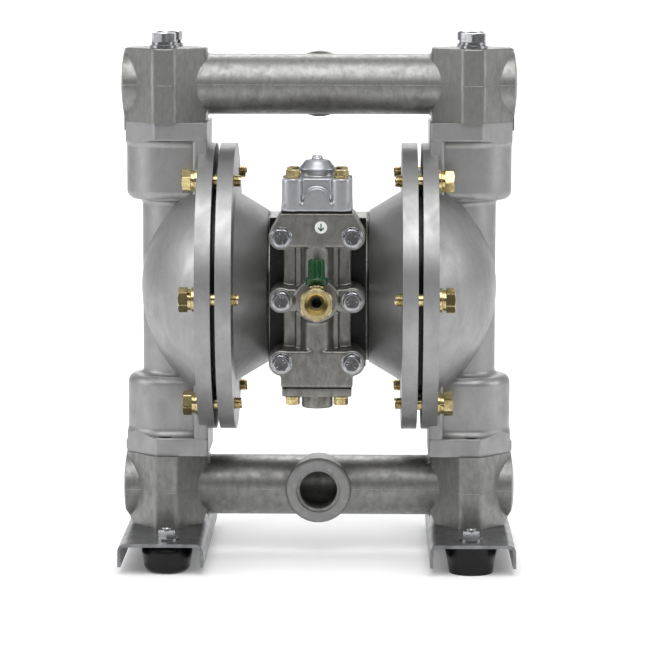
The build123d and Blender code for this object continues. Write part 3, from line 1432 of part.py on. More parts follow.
# Exhaust muffler: threaded nipple, hexagon, slotted can and end cap
can_y = muffler_boss_y + muffler_hex_length
with BuildPart() as exhaust_muffler:
    with BuildSketch(front_plane(-muffler_boss_y)):
        with Locations((0, exhaust_z)):
            Circle(muffler_thread)
    extrude(amount=muffler_nipple)
    with BuildSketch(front_plane(-muffler_boss_y)):
        with Locations((0, exhaust_z)):
            RegularPolygon(muffler_hex_flats / 2, 6, major_radius=False)
    extrude(amount=-muffler_hex_length)
    with BuildSketch(front_plane(-can_y)):
        with Locations((0, exhaust_z)):
            Circle(muffler_radius)
    extrude(amount=-muffler_length)
    fillet(exhaust_muffler.faces().sort_by(Axis.Y)[-1].edges(), 4)
    with BuildSketch(front_plane(-muffler_boss_y + muffler_nipple)):
        with Locations((0, exhaust_z)):
            Circle(muffler_bore)
    extrude(amount=-(muffler_nipple + muffler_hex_length), mode=Mode.SUBTRACT)
    with BuildSketch(front_plane(-can_y)):
        with Locations((0, exhaust_z)):
            Circle(muffler_radius - muffler_wall)
    extrude(amount=-(muffler_length - muffler_wall), mode=Mode.SUBTRACT)
    slot_pitch = (muffler_length - 2 * muffler_wall) / slot_rows
    for row in range(slot_rows):
        slot_y = can_y + muffler_wall + slot_pitch * (row + 0.5)
        for n in range(slots_round):
            turn = 360 / slots_round * (n + row % 2 / 2)
            place = Plane(origin=(0, slot_y, axis_z + exhaust_z), x_dir=(0, 1, 0),
                          z_dir=(cos(radians(turn)), 0, sin(radians(turn))))
            with BuildSketch(place):
                SlotOverall(slot_pitch * 0.75, 2 * slot_half)
            extrude(amount=muffler_radius + 1, mode=Mode.SUBTRACT)
keep(exhaust_muffler, "exhaust_muffler")
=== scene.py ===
"""Studio scene of an air operated double diaphragm pump of blasted cast aluminium.

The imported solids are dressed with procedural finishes, and the pieces that need finer
form than a solid gives, such as bolts, split washers and casting seams, are modelled here.
Lengths are metres, but where a name ends in _mm or a class says millimetres.
"""

import json
import logging
import math
from dataclasses import dataclass
from enum import Enum

import bmesh
import bpy
from mathutils import Matrix, Vector, noise

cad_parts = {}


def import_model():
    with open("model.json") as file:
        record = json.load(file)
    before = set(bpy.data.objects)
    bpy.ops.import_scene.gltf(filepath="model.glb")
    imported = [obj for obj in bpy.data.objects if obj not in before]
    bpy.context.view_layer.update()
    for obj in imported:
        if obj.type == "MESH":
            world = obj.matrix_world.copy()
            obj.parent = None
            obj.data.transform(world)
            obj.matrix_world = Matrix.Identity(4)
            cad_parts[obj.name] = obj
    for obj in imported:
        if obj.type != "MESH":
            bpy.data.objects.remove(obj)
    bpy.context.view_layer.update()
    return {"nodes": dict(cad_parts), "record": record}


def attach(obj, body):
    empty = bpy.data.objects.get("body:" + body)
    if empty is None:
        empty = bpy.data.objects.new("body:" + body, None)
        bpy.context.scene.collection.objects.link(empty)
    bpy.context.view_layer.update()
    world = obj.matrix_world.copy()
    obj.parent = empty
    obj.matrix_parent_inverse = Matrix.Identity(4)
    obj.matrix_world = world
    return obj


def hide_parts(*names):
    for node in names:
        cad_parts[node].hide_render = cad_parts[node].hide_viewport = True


log = logging.getLogger("pump")
MM = 0.001

# Places that the sub-assemblies share, in metres, as the solids have them.
AXIS_Z = 0.2149
UPPER_PIPE_Z = 0.3759
LOWER_PIPE_Z = 0.0539
SIDE_X = 0.121
SIDES = (-1, 1)

# Colour at the bottom of the pits that a casting keeps after blasting.
PIT_TONE = "3A3A38"


class Side(Enum):
    """Which way a piece faces."""

    UP = (0.0, 0.0, 1.0)
    DOWN = (0.0, 0.0, -1.0)
    FRONT = (0.0, -1.0, 0.0)
    BACK = (0.0, 1.0, 0.0)
    LEFT = (-1.0, 0.0, 0.0)
    RIGHT = (1.0, 0.0, 0.0)


def linear(hex_code: str) -> tuple[float, float, float, float]:
    """Turns an sRGB hex colour to linear light.

    Args:
        hex_code: Six digits, such as "A8A8A6".

    Returns:
        Red, green, blue and an alpha of one.
    """
    parts = [int(hex_code[i : i + 2], 16) / 255 for i in (0, 2, 4)]
    light = [c / 12.92 if c <= 0.04045 else ((c + 0.055) / 1.055) ** 2.4 for c in parts]
    return (*light, 1.0)


def per_metre(size_mm: float) -> float:
    """Pattern scale, in repeats per metre, of a pattern whose features are size_mm apart."""
    return 1000.0 / size_mm


def add_node(
    tree: bpy.types.NodeTree,
    kind: str,
    settings: dict | None = None,
    links: dict | None = None,
) -> bpy.types.Node:
    """Adds a shader node with its settings and the links into it.

    Args:
        tree: The material's node tree.
        kind: The node's Blender type, such as "ShaderNodeTexNoise".
        settings: Values by property name, or by input name or number.
        links: Output sockets by input name or number.

    Returns:
        The new node.
    """
    node = tree.nodes.new(kind)
    for key, value in (settings or {}).items():
        if isinstance(key, str) and hasattr(node, key):
            setattr(node, key, value)
        else:
            node.inputs[key].default_value = value
    for key, source in (links or {}).items():
        tree.links.new(source, node.inputs[key])
    return node


@dataclass(frozen=True)
class Finish:
    """A surface finish: how it is called, its colours and how it takes the light.

    The mottle is the broad change of tone, drawn out upright by the streak. The grain is the fine tooth.
    """

    name: str
    tone: str
    shade: str
    metallic: float = 0.0
    roughness: float = 0.5
    roughness_spread: float = 0.08
    mottle_mm: float = 14.0
    mottle_share: float = 0.5
    streak: float = 1.0
    grain_mm: float = 0.8
    grain_depth_mm: float = 0.02
    edge_round_mm: float = 0.6
    specks: float = 0.0
    speck_mm: float = 3.0
    specular: float = 0.5
    glow: float = 0.0

    def make(self) -> bpy.types.Material:
        """Builds the procedural material.

        Returns:
            The material, or the one already built under this name.
        """
        if self.name in bpy.data.materials:
            return bpy.data.materials[self.name]
        material = bpy.data.materials.new(self.name)
        material.use_nodes = True
        tree = material.node_tree
        tree.nodes.clear()
        place = add_node(tree, "ShaderNodeTexCoord").outputs["Object"]
        upright = {"Scale": (1.0, 1.0, 1.0 / self.streak)}
        drawn = add_node(tree, "ShaderNodeMapping", upright, {"Vector": place})
        mottle = add_node(
            tree,
            "ShaderNodeTexNoise",
            {"Scale": per_metre(self.mottle_mm), "Detail": 5.0, "Roughness": 0.62, "Distortion": 0.4},
            {"Vector": drawn.outputs["Vector"]},
        ).outputs["Fac"]
        grain = add_node(
            tree,
            "ShaderNodeTexNoise",
            {"Scale": per_metre(self.grain_mm), "Detail": 3.0, "Roughness": 0.6},
            {"Vector": place},
        ).outputs["Fac"]
        spread = add_node(
            tree,
            "ShaderNodeMapRange",
            {"From Min": 0.3, "From Max": 0.7, "To Min": 0.0, "To Max": self.mottle_share * 2},
            {"Value": mottle},
        ).outputs["Result"]
        colour = add_node(
            tree,
            "ShaderNodeMix",
            {"data_type": "RGBA", "clamp_factor": True, 6: linear(self.tone), 7: linear(self.shade)},
            {0: spread},
        ).outputs[2]
        if self.specks:
            # small dark pits and stains, as a casting keeps them after blasting
            pits = add_node(
                tree,
                "ShaderNodeTexNoise",
                {"Scale": per_metre(self.speck_mm), "Detail": 6.0, "Roughness": 0.75},
                {"Vector": place},
            ).outputs["Fac"]
            mask = add_node(
                tree,
                "ShaderNodeMapRange",
                {"From Min": 0.56, "From Max": 0.72, "To Min": 0.0, "To Max": self.specks},
                {"Value": pits},
            ).outputs["Result"]
            colour = add_node(
                tree,
                "ShaderNodeMix",
                {"data_type": "RGBA", 7: linear(PIT_TONE)},
                {0: mask, 6: colour},
            ).outputs[2]
        rough = add_node(
            tree,
            "ShaderNodeMapRange",
            {
                "From Min": 0.3,
                "From Max": 0.7,
                "To Min": self.roughness - self.roughness_spread,
                "To Max": self.roughness + self.roughness_spread,
            },
            {"Value": mottle},
        ).outputs["Result"]
        edge = {"samples": 4, "Radius": self.edge_round_mm * MM}
        rounded = add_node(tree, "ShaderNodeBevel", edge).outputs["Normal"]
        bump = add_node(
            tree,
            "ShaderNodeBump",
            {"Strength": 1.0, "Distance": self.grain_depth_mm * MM},
            {"Height": grain, "Normal": rounded},
        ).outputs["Normal"]
        shader = add_node(
            tree,
            "ShaderNodeBsdfPrincipled",
            {
                "Metallic": self.metallic,
                "Specular IOR Level": self.specular,
                "Emission Color": linear("FFFFFF"),
                "Emission Strength": self.glow,
            },
            {"Base Color": colour, "Roughness": rough, "Normal": bump},
        ).outputs["BSDF"]
        add_node(tree, "ShaderNodeOutputMaterial", links={"Surface": shader})
        return material


# Cast aluminium of the chambers, shot blasted: a close, even tooth that spreads the light softly.
BLASTED_CASTING = Finish(
    "blasted_cast_aluminium",
    "A1A1A0",
    "8D8D8E",
    metallic=0.9,
    roughness=0.44,
    mottle_mm=14,
    mottle_share=0.35,
    streak=1.6,
    specks=0.14,
    speck_mm=4.0,
    grain_mm=1.1,
    grain_depth_mm=0.03,
)
# Cast aluminium of the pipes as it leaves the sand mould: darker, warm grey, pitted and stained.
SAND_CASTING = Finish(
    "sand_cast_aluminium",
    "939391",
    "757571",
    metallic=0.9,
    roughness=0.42,
    mottle_mm=5,
    mottle_share=0.4,
    streak=1.8,
    specks=0.3,
    speck_mm=1.6,
    grain_mm=1.0,
    grain_depth_mm=0.05,
)
# Flash left on the pipes' parting line: torn thin, so its bare edge catches the light.
SEAM_FLASH = Finish(
    "torn_casting_flash", "BEBEBA", "7E7E78", metallic=0.9, roughness=0.38, mottle_mm=3
)
# The air motor's body, cast and tumbled in stones: dark warm grey with shining high spots.
TUMBLED_CASTING = Finish(
    "tumbled_cast_aluminium",
    "8E8D88",
    "6C6B66",
    metallic=0.9,
    roughness=0.36,
    mottle_mm=5,
    streak=2.0,
    specks=0.35,
    speck_mm=1.8,
    grain_depth_mm=0.03,
    edge_round_mm=0.8,
)
# Pressure die castings of the air motor's covers: smooth, cool and bright on their rounded edges.
DIE_CASTING = Finish(
    "die_cast_aluminium", "AFB0B3", "97989C", metallic=0.92, roughness=0.38, mottle_mm=8,
    mottle_share=0.3, grain_depth_mm=0.006, edge_round_mm=0.1,
)
# Steel bolts plated with zinc and yellow passivated: pale gold mirror with greenish brown patches.
YELLOW_ZINC = Finish(
    "yellow_passivated_zinc", "DCCE9E", "A08C58", metallic=1.0, roughness=0.19, mottle_mm=3,
    grain_depth_mm=0.002, edge_round_mm=0.2,
)
# Steel bolts plated with bright zinc, stamped and barrel plated: a cool mirror with a fine haze.
BRIGHT_ZINC = Finish(
    "bright_zinc_plate", "B6B7B9", "8C8D90", metallic=1.0, roughness=0.17, mottle_mm=3,
    grain_depth_mm=0.002, edge_round_mm=0.2,
)
# The sunk middle of a stamped head: its dark grey is painted shade in the dish.
DISH_SHADE_ZINC = Finish(
    "zinc_with_painted_dish_shade", "6E6E6E", "505050", metallic=0.95, roughness=0.34, mottle_mm=2,
    grain_depth_mm=0.004, edge_round_mm=0.15,
)
# Carbon steel turned on a lathe, inside the pump: plain grey with a satin shine.
TURNED_STEEL = Finish("turned_steel", "B7B7B6", "9C9C9B", metallic=1.0, roughness=0.3, grain_depth_mm=0.006)
# Rolled steel sheet of the foot rails, hot dip galvanised: grey with a slow cloudy spangle.
GALVANISED_SHEET = Finish(
    "galvanised_sheet", "8E8F90", "6F7072", metallic=0.95, roughness=0.34, mottle_mm=12, grain_mm=1.2
)
# Rubber of feet, gaskets and diaphragms, moulded: near black, with the soft shine of the mould.
BLACK_RUBBER = Finish(
    "moulded_black_rubber", "060607", "0C0C0D", roughness=0.3, mottle_mm=9, grain_mm=0.5,
    edge_round_mm=0.8, specular=0.28,
)
# Free cutting brass of the air cock, turned and polished by the tool: pale warm mirror.
CUT_BRASS = Finish(
    "machined_brass", "D3C8A4", "A49260", metallic=1.0, roughness=0.18, mottle_mm=4,
    grain_depth_mm=0.002, edge_round_mm=0.2,
)
# Nylon of the air cock's handle, injection moulded: deep green with a soft moulded shine.
GREEN_NYLON = Finish(
    "moulded_green_nylon", "05451F", "043417", roughness=0.26, mottle_mm=4, grain_depth_mm=0.01,
    edge_round_mm=0.5,
)
# Polyester film of the round label, printed: clean white, slightly glossy.
WHITE_FILM = Finish(
    "printed_white_film", "DCDEDB", "CFD2CE", roughness=0.4, mottle_mm=3, grain_depth_mm=0.004
)
# PTFE of balls and ball seats, pressed and turned: waxy white.
WHITE_PTFE = Finish("turned_white_ptfe", "E4E3DD", "D6D5CE", roughness=0.4, mottle_mm=8)
# Bearing plastic of bushes and sleeve, turned: dull brown.
BEARING_PLASTIC = Finish("turned_bearing_plastic", "8C7A5C", "786848", roughness=0.45, mottle_mm=5)
# Polypropylene of the exhaust muffler, injection moulded: black with a satin skin.
MUFFLER_PLASTIC = Finish(
    "moulded_black_plastic", "232425", "2E2F30", roughness=0.5, mottle_mm=6, grain_mm=0.6
)
# Cast aluminium of the ports' faces, cut on the lathe: cleaner than the skin round them, and shining.
FACED_CASTING = Finish(
    "faced_cast_aluminium", "8C8C8B", "7A7A79", metallic=0.95, roughness=0.32, mottle_mm=6,
    mottle_share=0.3, grain_depth_mm=0.004, edge_round_mm=0.05,
)
# Painted shade of the turned groove behind the port's face: a dull, nearly black band where the groove's
# shadow falls.
GROOVE_SHADE_PAINT = Finish("painted_groove_shade", "3C3C39", "2A2A28", roughness=0.7, mottle_mm=2)

SLOT_FINISH = {
    "cast_light": BLASTED_CASTING,
    "cast_mid": SAND_CASTING,
    "cast_dark": TUMBLED_CASTING,
    "cast_cover": DIE_CASTING,
    "yellow_zinc": YELLOW_ZINC,
    "bright_zinc": BRIGHT_ZINC,
    "plain_steel": TURNED_STEEL,
    "bracket_steel": GALVANISED_SHEET,
    "black_rubber": BLACK_RUBBER,
    "inlet_brass": CUT_BRASS,
    "green_plastic": GREEN_NYLON,
    "white_label": WHITE_FILM,
    "white_ball": WHITE_PTFE,
    "bushing": BEARING_PLASTIC,
    "muffler_plastic": MUFFLER_PLASTIC,
}


def dress(obj: bpy.types.Object, finish: Finish) -> None:
    """Gives the object that finish alone. A bare mesh isn't cleared: that would lose its face indices."""
    if obj.data.materials:
        obj.data.materials.clear()
    obj.data.materials.append(finish.make())


def new_object(
    name: str, shape: bmesh.types.BMesh, finish: Finish, smooth_deg: float = 35.0
) -> bpy.types.Object:
    """Turns a bmesh into a dressed object.

    Args:
        name: Name of the piece.
        shape: The bmesh, which is freed.
        finish: Its finish.
        smooth_deg: Edges sharper than this stay sharp.

    Returns:
        The linked object.
    """
    bmesh.ops.remove_doubles(shape, verts=shape.verts, dist=1e-7)
    bmesh.ops.recalc_face_normals(shape, faces=shape.faces)
    mesh = bpy.data.meshes.new(name)
    shape.to_mesh(mesh)
    shape.free()
    obj = bpy.data.objects.new(name, mesh)
    bpy.context.scene.collection.objects.link(obj)
    mesh.shade_smooth()
    mesh.set_sharp_from_angle(angle=math.radians(smooth_deg))
    dress(obj, finish)
    return obj


def ring_stack(shape: bmesh.types.BMesh, rings: list[list[Vector]], close_ends: bool = True) -> None:
    """Skins a stack of closed rings that all have the same number of points.

    Args:
        shape: The bmesh to add to.
        rings: The rings, one after another along the skin.
        close_ends: Whether the first and last ring get a cap.
    """
    loops = [[shape.verts.new(point) for point in ring] for ring in rings]
    for low, high in zip(loops, loops[1:]):
        for n in range(len(low)):
            m = (n + 1) % len(low)
            shape.faces.new((low[n], low[m], high[m], high[n]))
    if close_ends:
        shape.faces.new(loops[0][::-1])
        shape.faces.new(loops[-1])


def move_new(shape: bmesh.types.BMesh, first: int, matrix: Matrix) -> None:
    """Moves the points that were added since the shape had that many."""
    shape.verts.ensure_lookup_table()
    bmesh.ops.transform(shape, matrix=matrix, verts=shape.verts[first:])


def polar(radius: float, turn: float, height: float = 0.0) -> Vector:
    """Point at a radius and a turn in radians about Z."""
    return Vector((radius * math.cos(turn), radius * math.sin(turn), height))


def turns(steps: int) -> list[float]:
    """Even turns in radians, once about."""
    return [2 * math.pi * n / steps for n in range(steps)]


def circle(radius: float, height: float, steps: int = 48) -> list[Vector]:
    """Points of a circle about Z."""
    return [polar(radius, t, height) for t in turns(steps)]


def circles_mm(profile: tuple | list, steps: int = 48) -> list[list[Vector]]:
    """Circles about Z, one for each radius and height of a profile in millimetres."""
    return [circle(r * MM, h * MM, steps) for r, h in profile]


def hexagon_reach(half: float, turn: float) -> float:
    """Distance from the middle of a hexagon to its side; half is half its width across flats."""
    return half / math.cos((turn + math.pi / 6) % (math.pi / 3) - math.pi / 6)


def place_from(point: tuple, facing: tuple) -> Matrix:
    """Matrix that puts a piece made about +Z at a point, facing a direction.

    Args:
        point: Where its origin goes.
        facing: Where its +Z goes.

    Returns:
        The matrix.
    """
    return Matrix.Translation(point) @ Vector(facing).to_track_quat("Z", "Y").to_matrix().to_4x4()


@dataclass(frozen=True)
class BoltSize:
    """A metric hexagon bolt with its flat and split washer, in millimetres."""

    shank: float
    flats: float
    head: float
    pitch: float
    washer: float
    washer_thick: float
    split: float = 0.0
    split_thick: float = 0.0

    @property
    def stack(self) -> float:
        """Height of the washers under the head."""
        return self.washer_thick + self.split_thick


M12 = BoltSize(6.0, 19.0, 7.2, 1.75, 11.0, 2.5, 9.6, 2.5)
M10 = BoltSize(5.0, 17.0, 7.2, 1.5, 9.5, 2.3, 8.2, 3.0)
M8 = BoltSize(4.0, 13.0, 5.3, 1.25, 8.4, 1.6, 7.0, 2.0)
M6 = BoltSize(3.0, 10.0, 4.6, 1.0, 5.6, 1.8)

# A bolt head's form, as shares of half its width across flats.
CORNER_REACH = 1.137  # its corners, a little rounded
CROWN = 0.95  # where the turned chamfer ends and the flat top starts
CHAMFER_DEG = 30.0
# The stamped hollow in the top, as shares of the crown.
DISH_LIP = 0.86
DISH_WALL = 0.77
DISH_MIDDLE = 0.3
DISH_FALL = 1.1  # the middle's depth over the wall's

# A raised dash on a head: its two ends and half its width, as shares of half the width across flats.
DASH_ENDS = (0.42, 0.66)
DASH_HALF = 0.06
DASH_ROOT_MM = 0.1
DASH_TOP_MM = 0.22
DASH_TAPER = 0.985

THREAD_DEPTH = 0.55  # depth of a metric thread over its pitch
WASHER_BORE = 1.06  # a washer's bore over the bolt's shank
FLAT_WASHER_ROUND_MM = 0.25
SPLIT_WASHER_ROUND_MM = 0.2


@dataclass
class BoltSet:
    """Bolts of one size with their washers, drawn with turned corners, dished heads and real threads."""

    size: BoltSize
    length_mm: float
    finish: Finish
    dish_mm: float = 0.35
    thread_mm: float = 14.0
    corner_steps: int = 12
    thread_steps: int = 20
    split_steps: int = 40
    dashes_deg: tuple[float, ...] = ()
    turns_deg: tuple[float, ...] = ()
    recess: Finish | None = None

    def head_rings(self) -> list[list[Vector]]:
        """Rings of the head from its bearing face up to the middle of its dished top."""
        half, head = self.size.flats / 2 * MM, self.size.head * MM
        crown_reach = half * CROWN
        rim, flat, crown = [], [], []
        steps = 6 * self.corner_steps
        for t in turns(steps):
            reach = min(hexagon_reach(half, t), half * CORNER_REACH)
            drop = (reach - crown_reach) * math.tan(math.radians(CHAMFER_DEG))
            rim.append(polar(reach, t))
            flat.append(polar(reach, t, head - drop))
            crown.append(polar(crown_reach, t, head))
        dish = self.dish_mm * MM
        lip = circle(crown_reach * DISH_LIP, head, steps)
        wall = circle(crown_reach * DISH_WALL, head - dish, steps)
        middle = circle(crown_reach * DISH_MIDDLE, head - dish * DISH_FALL, steps)
        return [rim, flat, crown, lip, wall, middle]

    def add_grade_dashes(self, shape: bmesh.types.BMesh, matrix: Matrix) -> None:
        """Adds the plain raised dashes that a stamped head carries near its rim."""
        half, top = self.size.flats / 2 * MM, (self.size.head - self.dish_mm) * MM
        first = len(shape.verts)
        near, far = DASH_ENDS
        for turn in self.dashes_deg:
            t = math.radians(turn)
            way, across = polar(1.0, t), Vector((-math.sin(t), math.cos(t), 0))
            low, high = [], []
            for along, side in ((near, -1), (far, -1), (far, 1), (near, 1)):
                foot = way * half * along + across * side * half * DASH_HALF
                low.append(foot + Vector((0, 0, top - DASH_ROOT_MM * MM)))
                high.append(foot * DASH_TAPER + Vector((0, 0, top + DASH_TOP_MM * MM)))
            ring_stack(shape, [low, high])
        move_new(shape, first, matrix)

    def add_bolt(self, shape: bmesh.types.BMesh, matrix: Matrix) -> None:
        """Adds one bolt whose head stands on the matrix's XY plane."""
        first = len(shape.verts)
        rings = self.head_rings()
        shank = self.size.shank * MM
        steps = len(rings[0])
        ring_stack(shape, [circle(shank, 0.0, steps)] + rings)
        if self.recess:
            # the last ring of faces and the two end caps
            shape.faces.ensure_lookup_table()
            for face in shape.faces[-steps - 2:]:
                face.material_index = 1
        length, thread = self.length_mm * MM, min(self.thread_mm, self.length_mm * 0.8) * MM
        ring_stack(shape, [circle(shank, 0.0), circle(shank, -(length - thread))])
        self.add_thread(shape, -(length - thread), -length)
        move_new(shape, first, matrix)

    def add_thread(self, shape: bmesh.types.BMesh, top: float, tip: float) -> None:
        """Adds a helical thread between two heights, with a chamfered tip."""
        pitch, crest = self.size.pitch * MM, self.size.shank * MM
        root = crest - THREAD_DEPTH * pitch
        count = int((top - tip) / pitch * self.thread_steps)
        rows = []
        for n in range(count + 1):
            t = 2 * math.pi * n / self.thread_steps
            height = top - pitch * n / self.thread_steps
            fade = min(1.0, max(0.0, (height - tip) / (1.2 * pitch)))
            reach = root + (crest - root) * fade
            row = [(root, 0.0), (reach, 0.38), (reach, 0.5), (root, 0.88), (root, 1.0)]
            rows.append([shape.verts.new(polar(r, t, height - pitch * h)) for r, h in row])
        for low, high in zip(rows, rows[1:]):
            for a in range(len(low) - 1):
                shape.faces.new((low[a], low[a + 1], high[a + 1], high[a]))
        core = [circle(root, top), circle(root * 0.999, tip + 0.3 * pitch), circle(root * 0.9, tip)]
        ring_stack(shape, core)

    def add_flat_washer(self, shape: bmesh.types.BMesh, matrix: Matrix) -> None:
        """Adds one flat washer with a stamped, rounded edge."""
        outer, inner, thick = self.size.washer, self.size.shank * WASHER_BORE, self.size.washer_thick
        soft = FLAT_WASHER_ROUND_MM
        profile = [(inner, 0.0), (outer - soft, 0.0), (outer, soft)]
        profile += [(outer, thick - soft), (outer - soft, thick), (inner, thick)]
        first = len(shape.verts)
        rings = circles_mm(profile)
        ring_stack(shape, rings + [rings[0]], close_ends=False)
        move_new(shape, first, matrix)

    def add_split_washer(self, shape: bmesh.types.BMesh, matrix: Matrix) -> None:
        """Adds one split washer, cut through on a slant."""
        inner, outer = self.size.shank * WASHER_BORE * MM, self.size.split * MM
        thick, slit, lean = self.size.split_thick * MM, math.radians(9), math.radians(7)
        soft = SPLIT_WASHER_ROUND_MM * MM
        corners = [(inner, 0.0), (outer - soft, 0.0), (outer, soft), (outer, thick - soft)]
        corners += [(outer - soft, thick), (inner, thick)]
        way = 2 * math.pi - 2 * slit
        sections = []
        for n in range(self.split_steps + 1):
            t = way * n / self.split_steps
            sections.append([polar(r, slit + lean * h / thick + t, h) for r, h in corners])
        first = len(shape.verts)
        ring_stack(shape, sections)
        move_new(shape, first, matrix)

    def build(self, names: tuple[str, str, str], spots: list[tuple[tuple, tuple]]) -> None:
        """Builds the bolts and washers at their places.

        Args:
            names: The solids' nodes for bolts, flat washers and split washers; an empty one isn't built.
            spots: Point on the seat and the direction out of it, for each bolt.
        """
        bolts, flats, splits = bmesh.new(), bmesh.new(), bmesh.new()
        for n, (point, facing) in enumerate(spots):
            turn = self.turns_deg[n] if n < len(self.turns_deg) else 37.0 * n + 11.0
            seat = place_from(point, facing)
            self.add_flat_washer(flats, seat)
            if self.size.split_thick:
                ring_seat = seat @ Matrix.Translation((0, 0, self.size.washer_thick * MM))
                self.add_split_washer(splits, ring_seat @ Matrix.Rotation(math.radians(turn * 3), 4, "Z"))
            bearing = seat @ Matrix.Translation((0, 0, self.size.stack * MM))
            bearing = bearing @ Matrix.Rotation(math.radians(turn), 4, "Z")
            self.add_bolt(bolts, bearing)
            self.add_grade_dashes(bolts, bearing)
        for name, shape in zip(names, (bolts, flats, splits)):
            if not name:
                shape.free()
                continue
            obj = new_object(f"{name}_drawn", shape, self.finish)
            if self.recess:
                obj.data.materials.append(self.recess.make())
            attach(obj, "frame")
            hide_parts(name)
            log.info("%s built", name)


@dataclass
class CastSeam:
    """The ragged flash that a mould's parting leaves along an outline."""

    proud_mm: float = 0.5
    foot_mm: float = 0.7
    bury_mm: float = 0.3
    wander_mm: float = 0.25
    step_mm: float = 1.2
    seed: int = 3

    def build(self, name: str, outline: list[tuple[float, float]], height: float) -> None:
        """Runs the seam along an open outline at one height.

        Args:
            name: Name of the piece.
            outline: Corners of the outline in plan, walked with the metal on the left hand.
            height: Height of the seam's middle.
        """
        points = []
        for (x0, y0), (x1, y1) in zip(outline, outline[1:]):
            count = max(1, round(math.dist((x0, y0), (x1, y1)) / (self.step_mm * MM)))
            way = Vector((x1 - x0, y1 - y0, 0)).normalized()
            out = Vector((way.y, -way.x, 0))
            start, end = Vector((x0, y0, height)), Vector((x1, y1, height))
            points += [(start.lerp(end, n / count), out) for n in range(count)]
        shape = bmesh.new()
        rings = []
        foot = Vector((0, 0, self.foot_mm * MM / 2))
        for point, out in points:
            # repeats per metre: teeth every 4 mm, broken stretches every 22 mm, a wander every 7 mm
            ragged = 0.5 + 0.5 * noise.noise(point * 260 + Vector((self.seed, 0, 0)))
            broken = 1.0 if noise.noise(point * 45 + Vector((0, self.seed, 0))) > -0.22 else 0.25
            lift = Vector((0, 0, self.wander_mm * MM * noise.noise(point * 150)))
            tip = point + out * self.proud_mm * MM * (0.25 + 0.9 * ragged) * broken + lift
            root = point - out * self.bury_mm * MM
            rings.append([root + foot, tip + foot * 0.3, tip - foot * 0.3, root - foot])
        ring_stack(shape, rings)
        obj = new_object(name, shape, SEAM_FLASH, smooth_deg=20)
        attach(obj, "frame")


@dataclass
class PortThread:
    """The crests of a one inch pipe thread inside a port, in millimetres."""

    radius: float = 15.1
    pitch: float = 2.309
    crest: float = 0.45
    length: float = 13.0
    steps: int = 64

    def build(self, name: str, mouth: tuple, facing: tuple) -> None:
        """Winds the thread inwards from the mouth.

        Args:
            name: Name of the piece.
            mouth: Where the thread starts on the port's axis, in metres.
            facing: The way out of the port.
        """
        shape = bmesh.new()
        wall, tip = self.radius + 0.05, self.radius - self.crest
        profile = [(wall, 0.0), (tip, -0.42), (tip, -0.62), (wall, -0.95)]
        rings = []
        for n in range(int(self.length / self.pitch * self.steps)):
            t = 2 * math.pi * n / self.steps
            depth = -self.pitch * n / self.steps
            rings.append([polar(r * MM, t, (depth + h * self.pitch) * MM) for r, h in profile])
        ring_stack(shape, rings)
        bmesh.ops.transform(shape, matrix=place_from(mouth, facing), verts=shape.verts)
        obj = new_object(name, shape, SAND_CASTING)
        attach(obj, "frame")


@dataclass
class PortFace:
    """Machined ring round a pipe port, with the fine rings of the lathe, in millimetres."""

    inner: float = 17.8
    outer: float = 24.1
    pitch: float = 0.45
    low: float = 0.03
    high: float = 0.07
    buried: float = -0.1
    steps: int = 128

    def build(self, name: str, point: tuple, facing: tuple) -> None:
        """Lays the faced ring on the boss.

        Args:
            name: Name of the piece.
            point: Middle of the boss's face, in metres.
            facing: Where the port looks to.
        """
        shape = bmesh.new()
        count = int((self.outer - self.inner) / self.pitch)
        profile = [(self.inner, self.buried)]
        profile += [(self.inner + n * self.pitch, self.high if n % 2 else self.low) for n in range(count + 1)]
        profile += [(self.inner + (count + 0.5) * self.pitch, self.buried)]
        ring_stack(shape, circles_mm(profile, self.steps), close_ends=False)
        bmesh.ops.transform(shape, matrix=place_from(point, facing), verts=shape.verts)
        face = new_object(name, shape, FACED_CASTING, smooth_deg=60)
        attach(face, "frame")


@dataclass(frozen=True)
class CastSkin:
    """Skin of a casting drawn over its solid, with every edge as soft as the mould leaves it.

    The solid's mesh is laid anew in an even net and relaxed. Flat faces stay where they are.
    """

    node: str
    finish: Finish
    net_mm: float
    passes: int
    pull: float = 0.5

    def build(self, solid: bpy.types.Object, slot: str) -> None:
        """Draws the skin in the solid's place.

        Args:
            solid: The solid's own object.
            slot: Its material slot in the record; not used.
        """
        piece = bpy.data.objects.new(f"{self.node}_skin", solid.data.copy())
        bpy.context.scene.collection.objects.link(piece)
        net = piece.modifiers.new("net", "REMESH")
        net.mode = "VOXEL"
        net.voxel_size = self.net_mm * MM
        relax = piece.modifiers.new("relax", "SMOOTH")
        relax.factor = self.pull
        relax.iterations = self.passes
        bpy.context.view_layer.update()
        shown = piece.evaluated_get(bpy.context.evaluated_depsgraph_get())
        mesh = bpy.data.meshes.new_from_object(shown)
        piece.modifiers.clear()
        piece.data = mesh
        mesh.shade_smooth()
        dress(piece, self.finish)
        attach(piece, "frame")
        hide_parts(self.node)
        log.info("%s skin: %d faces", self.node, len(mesh.polygons))


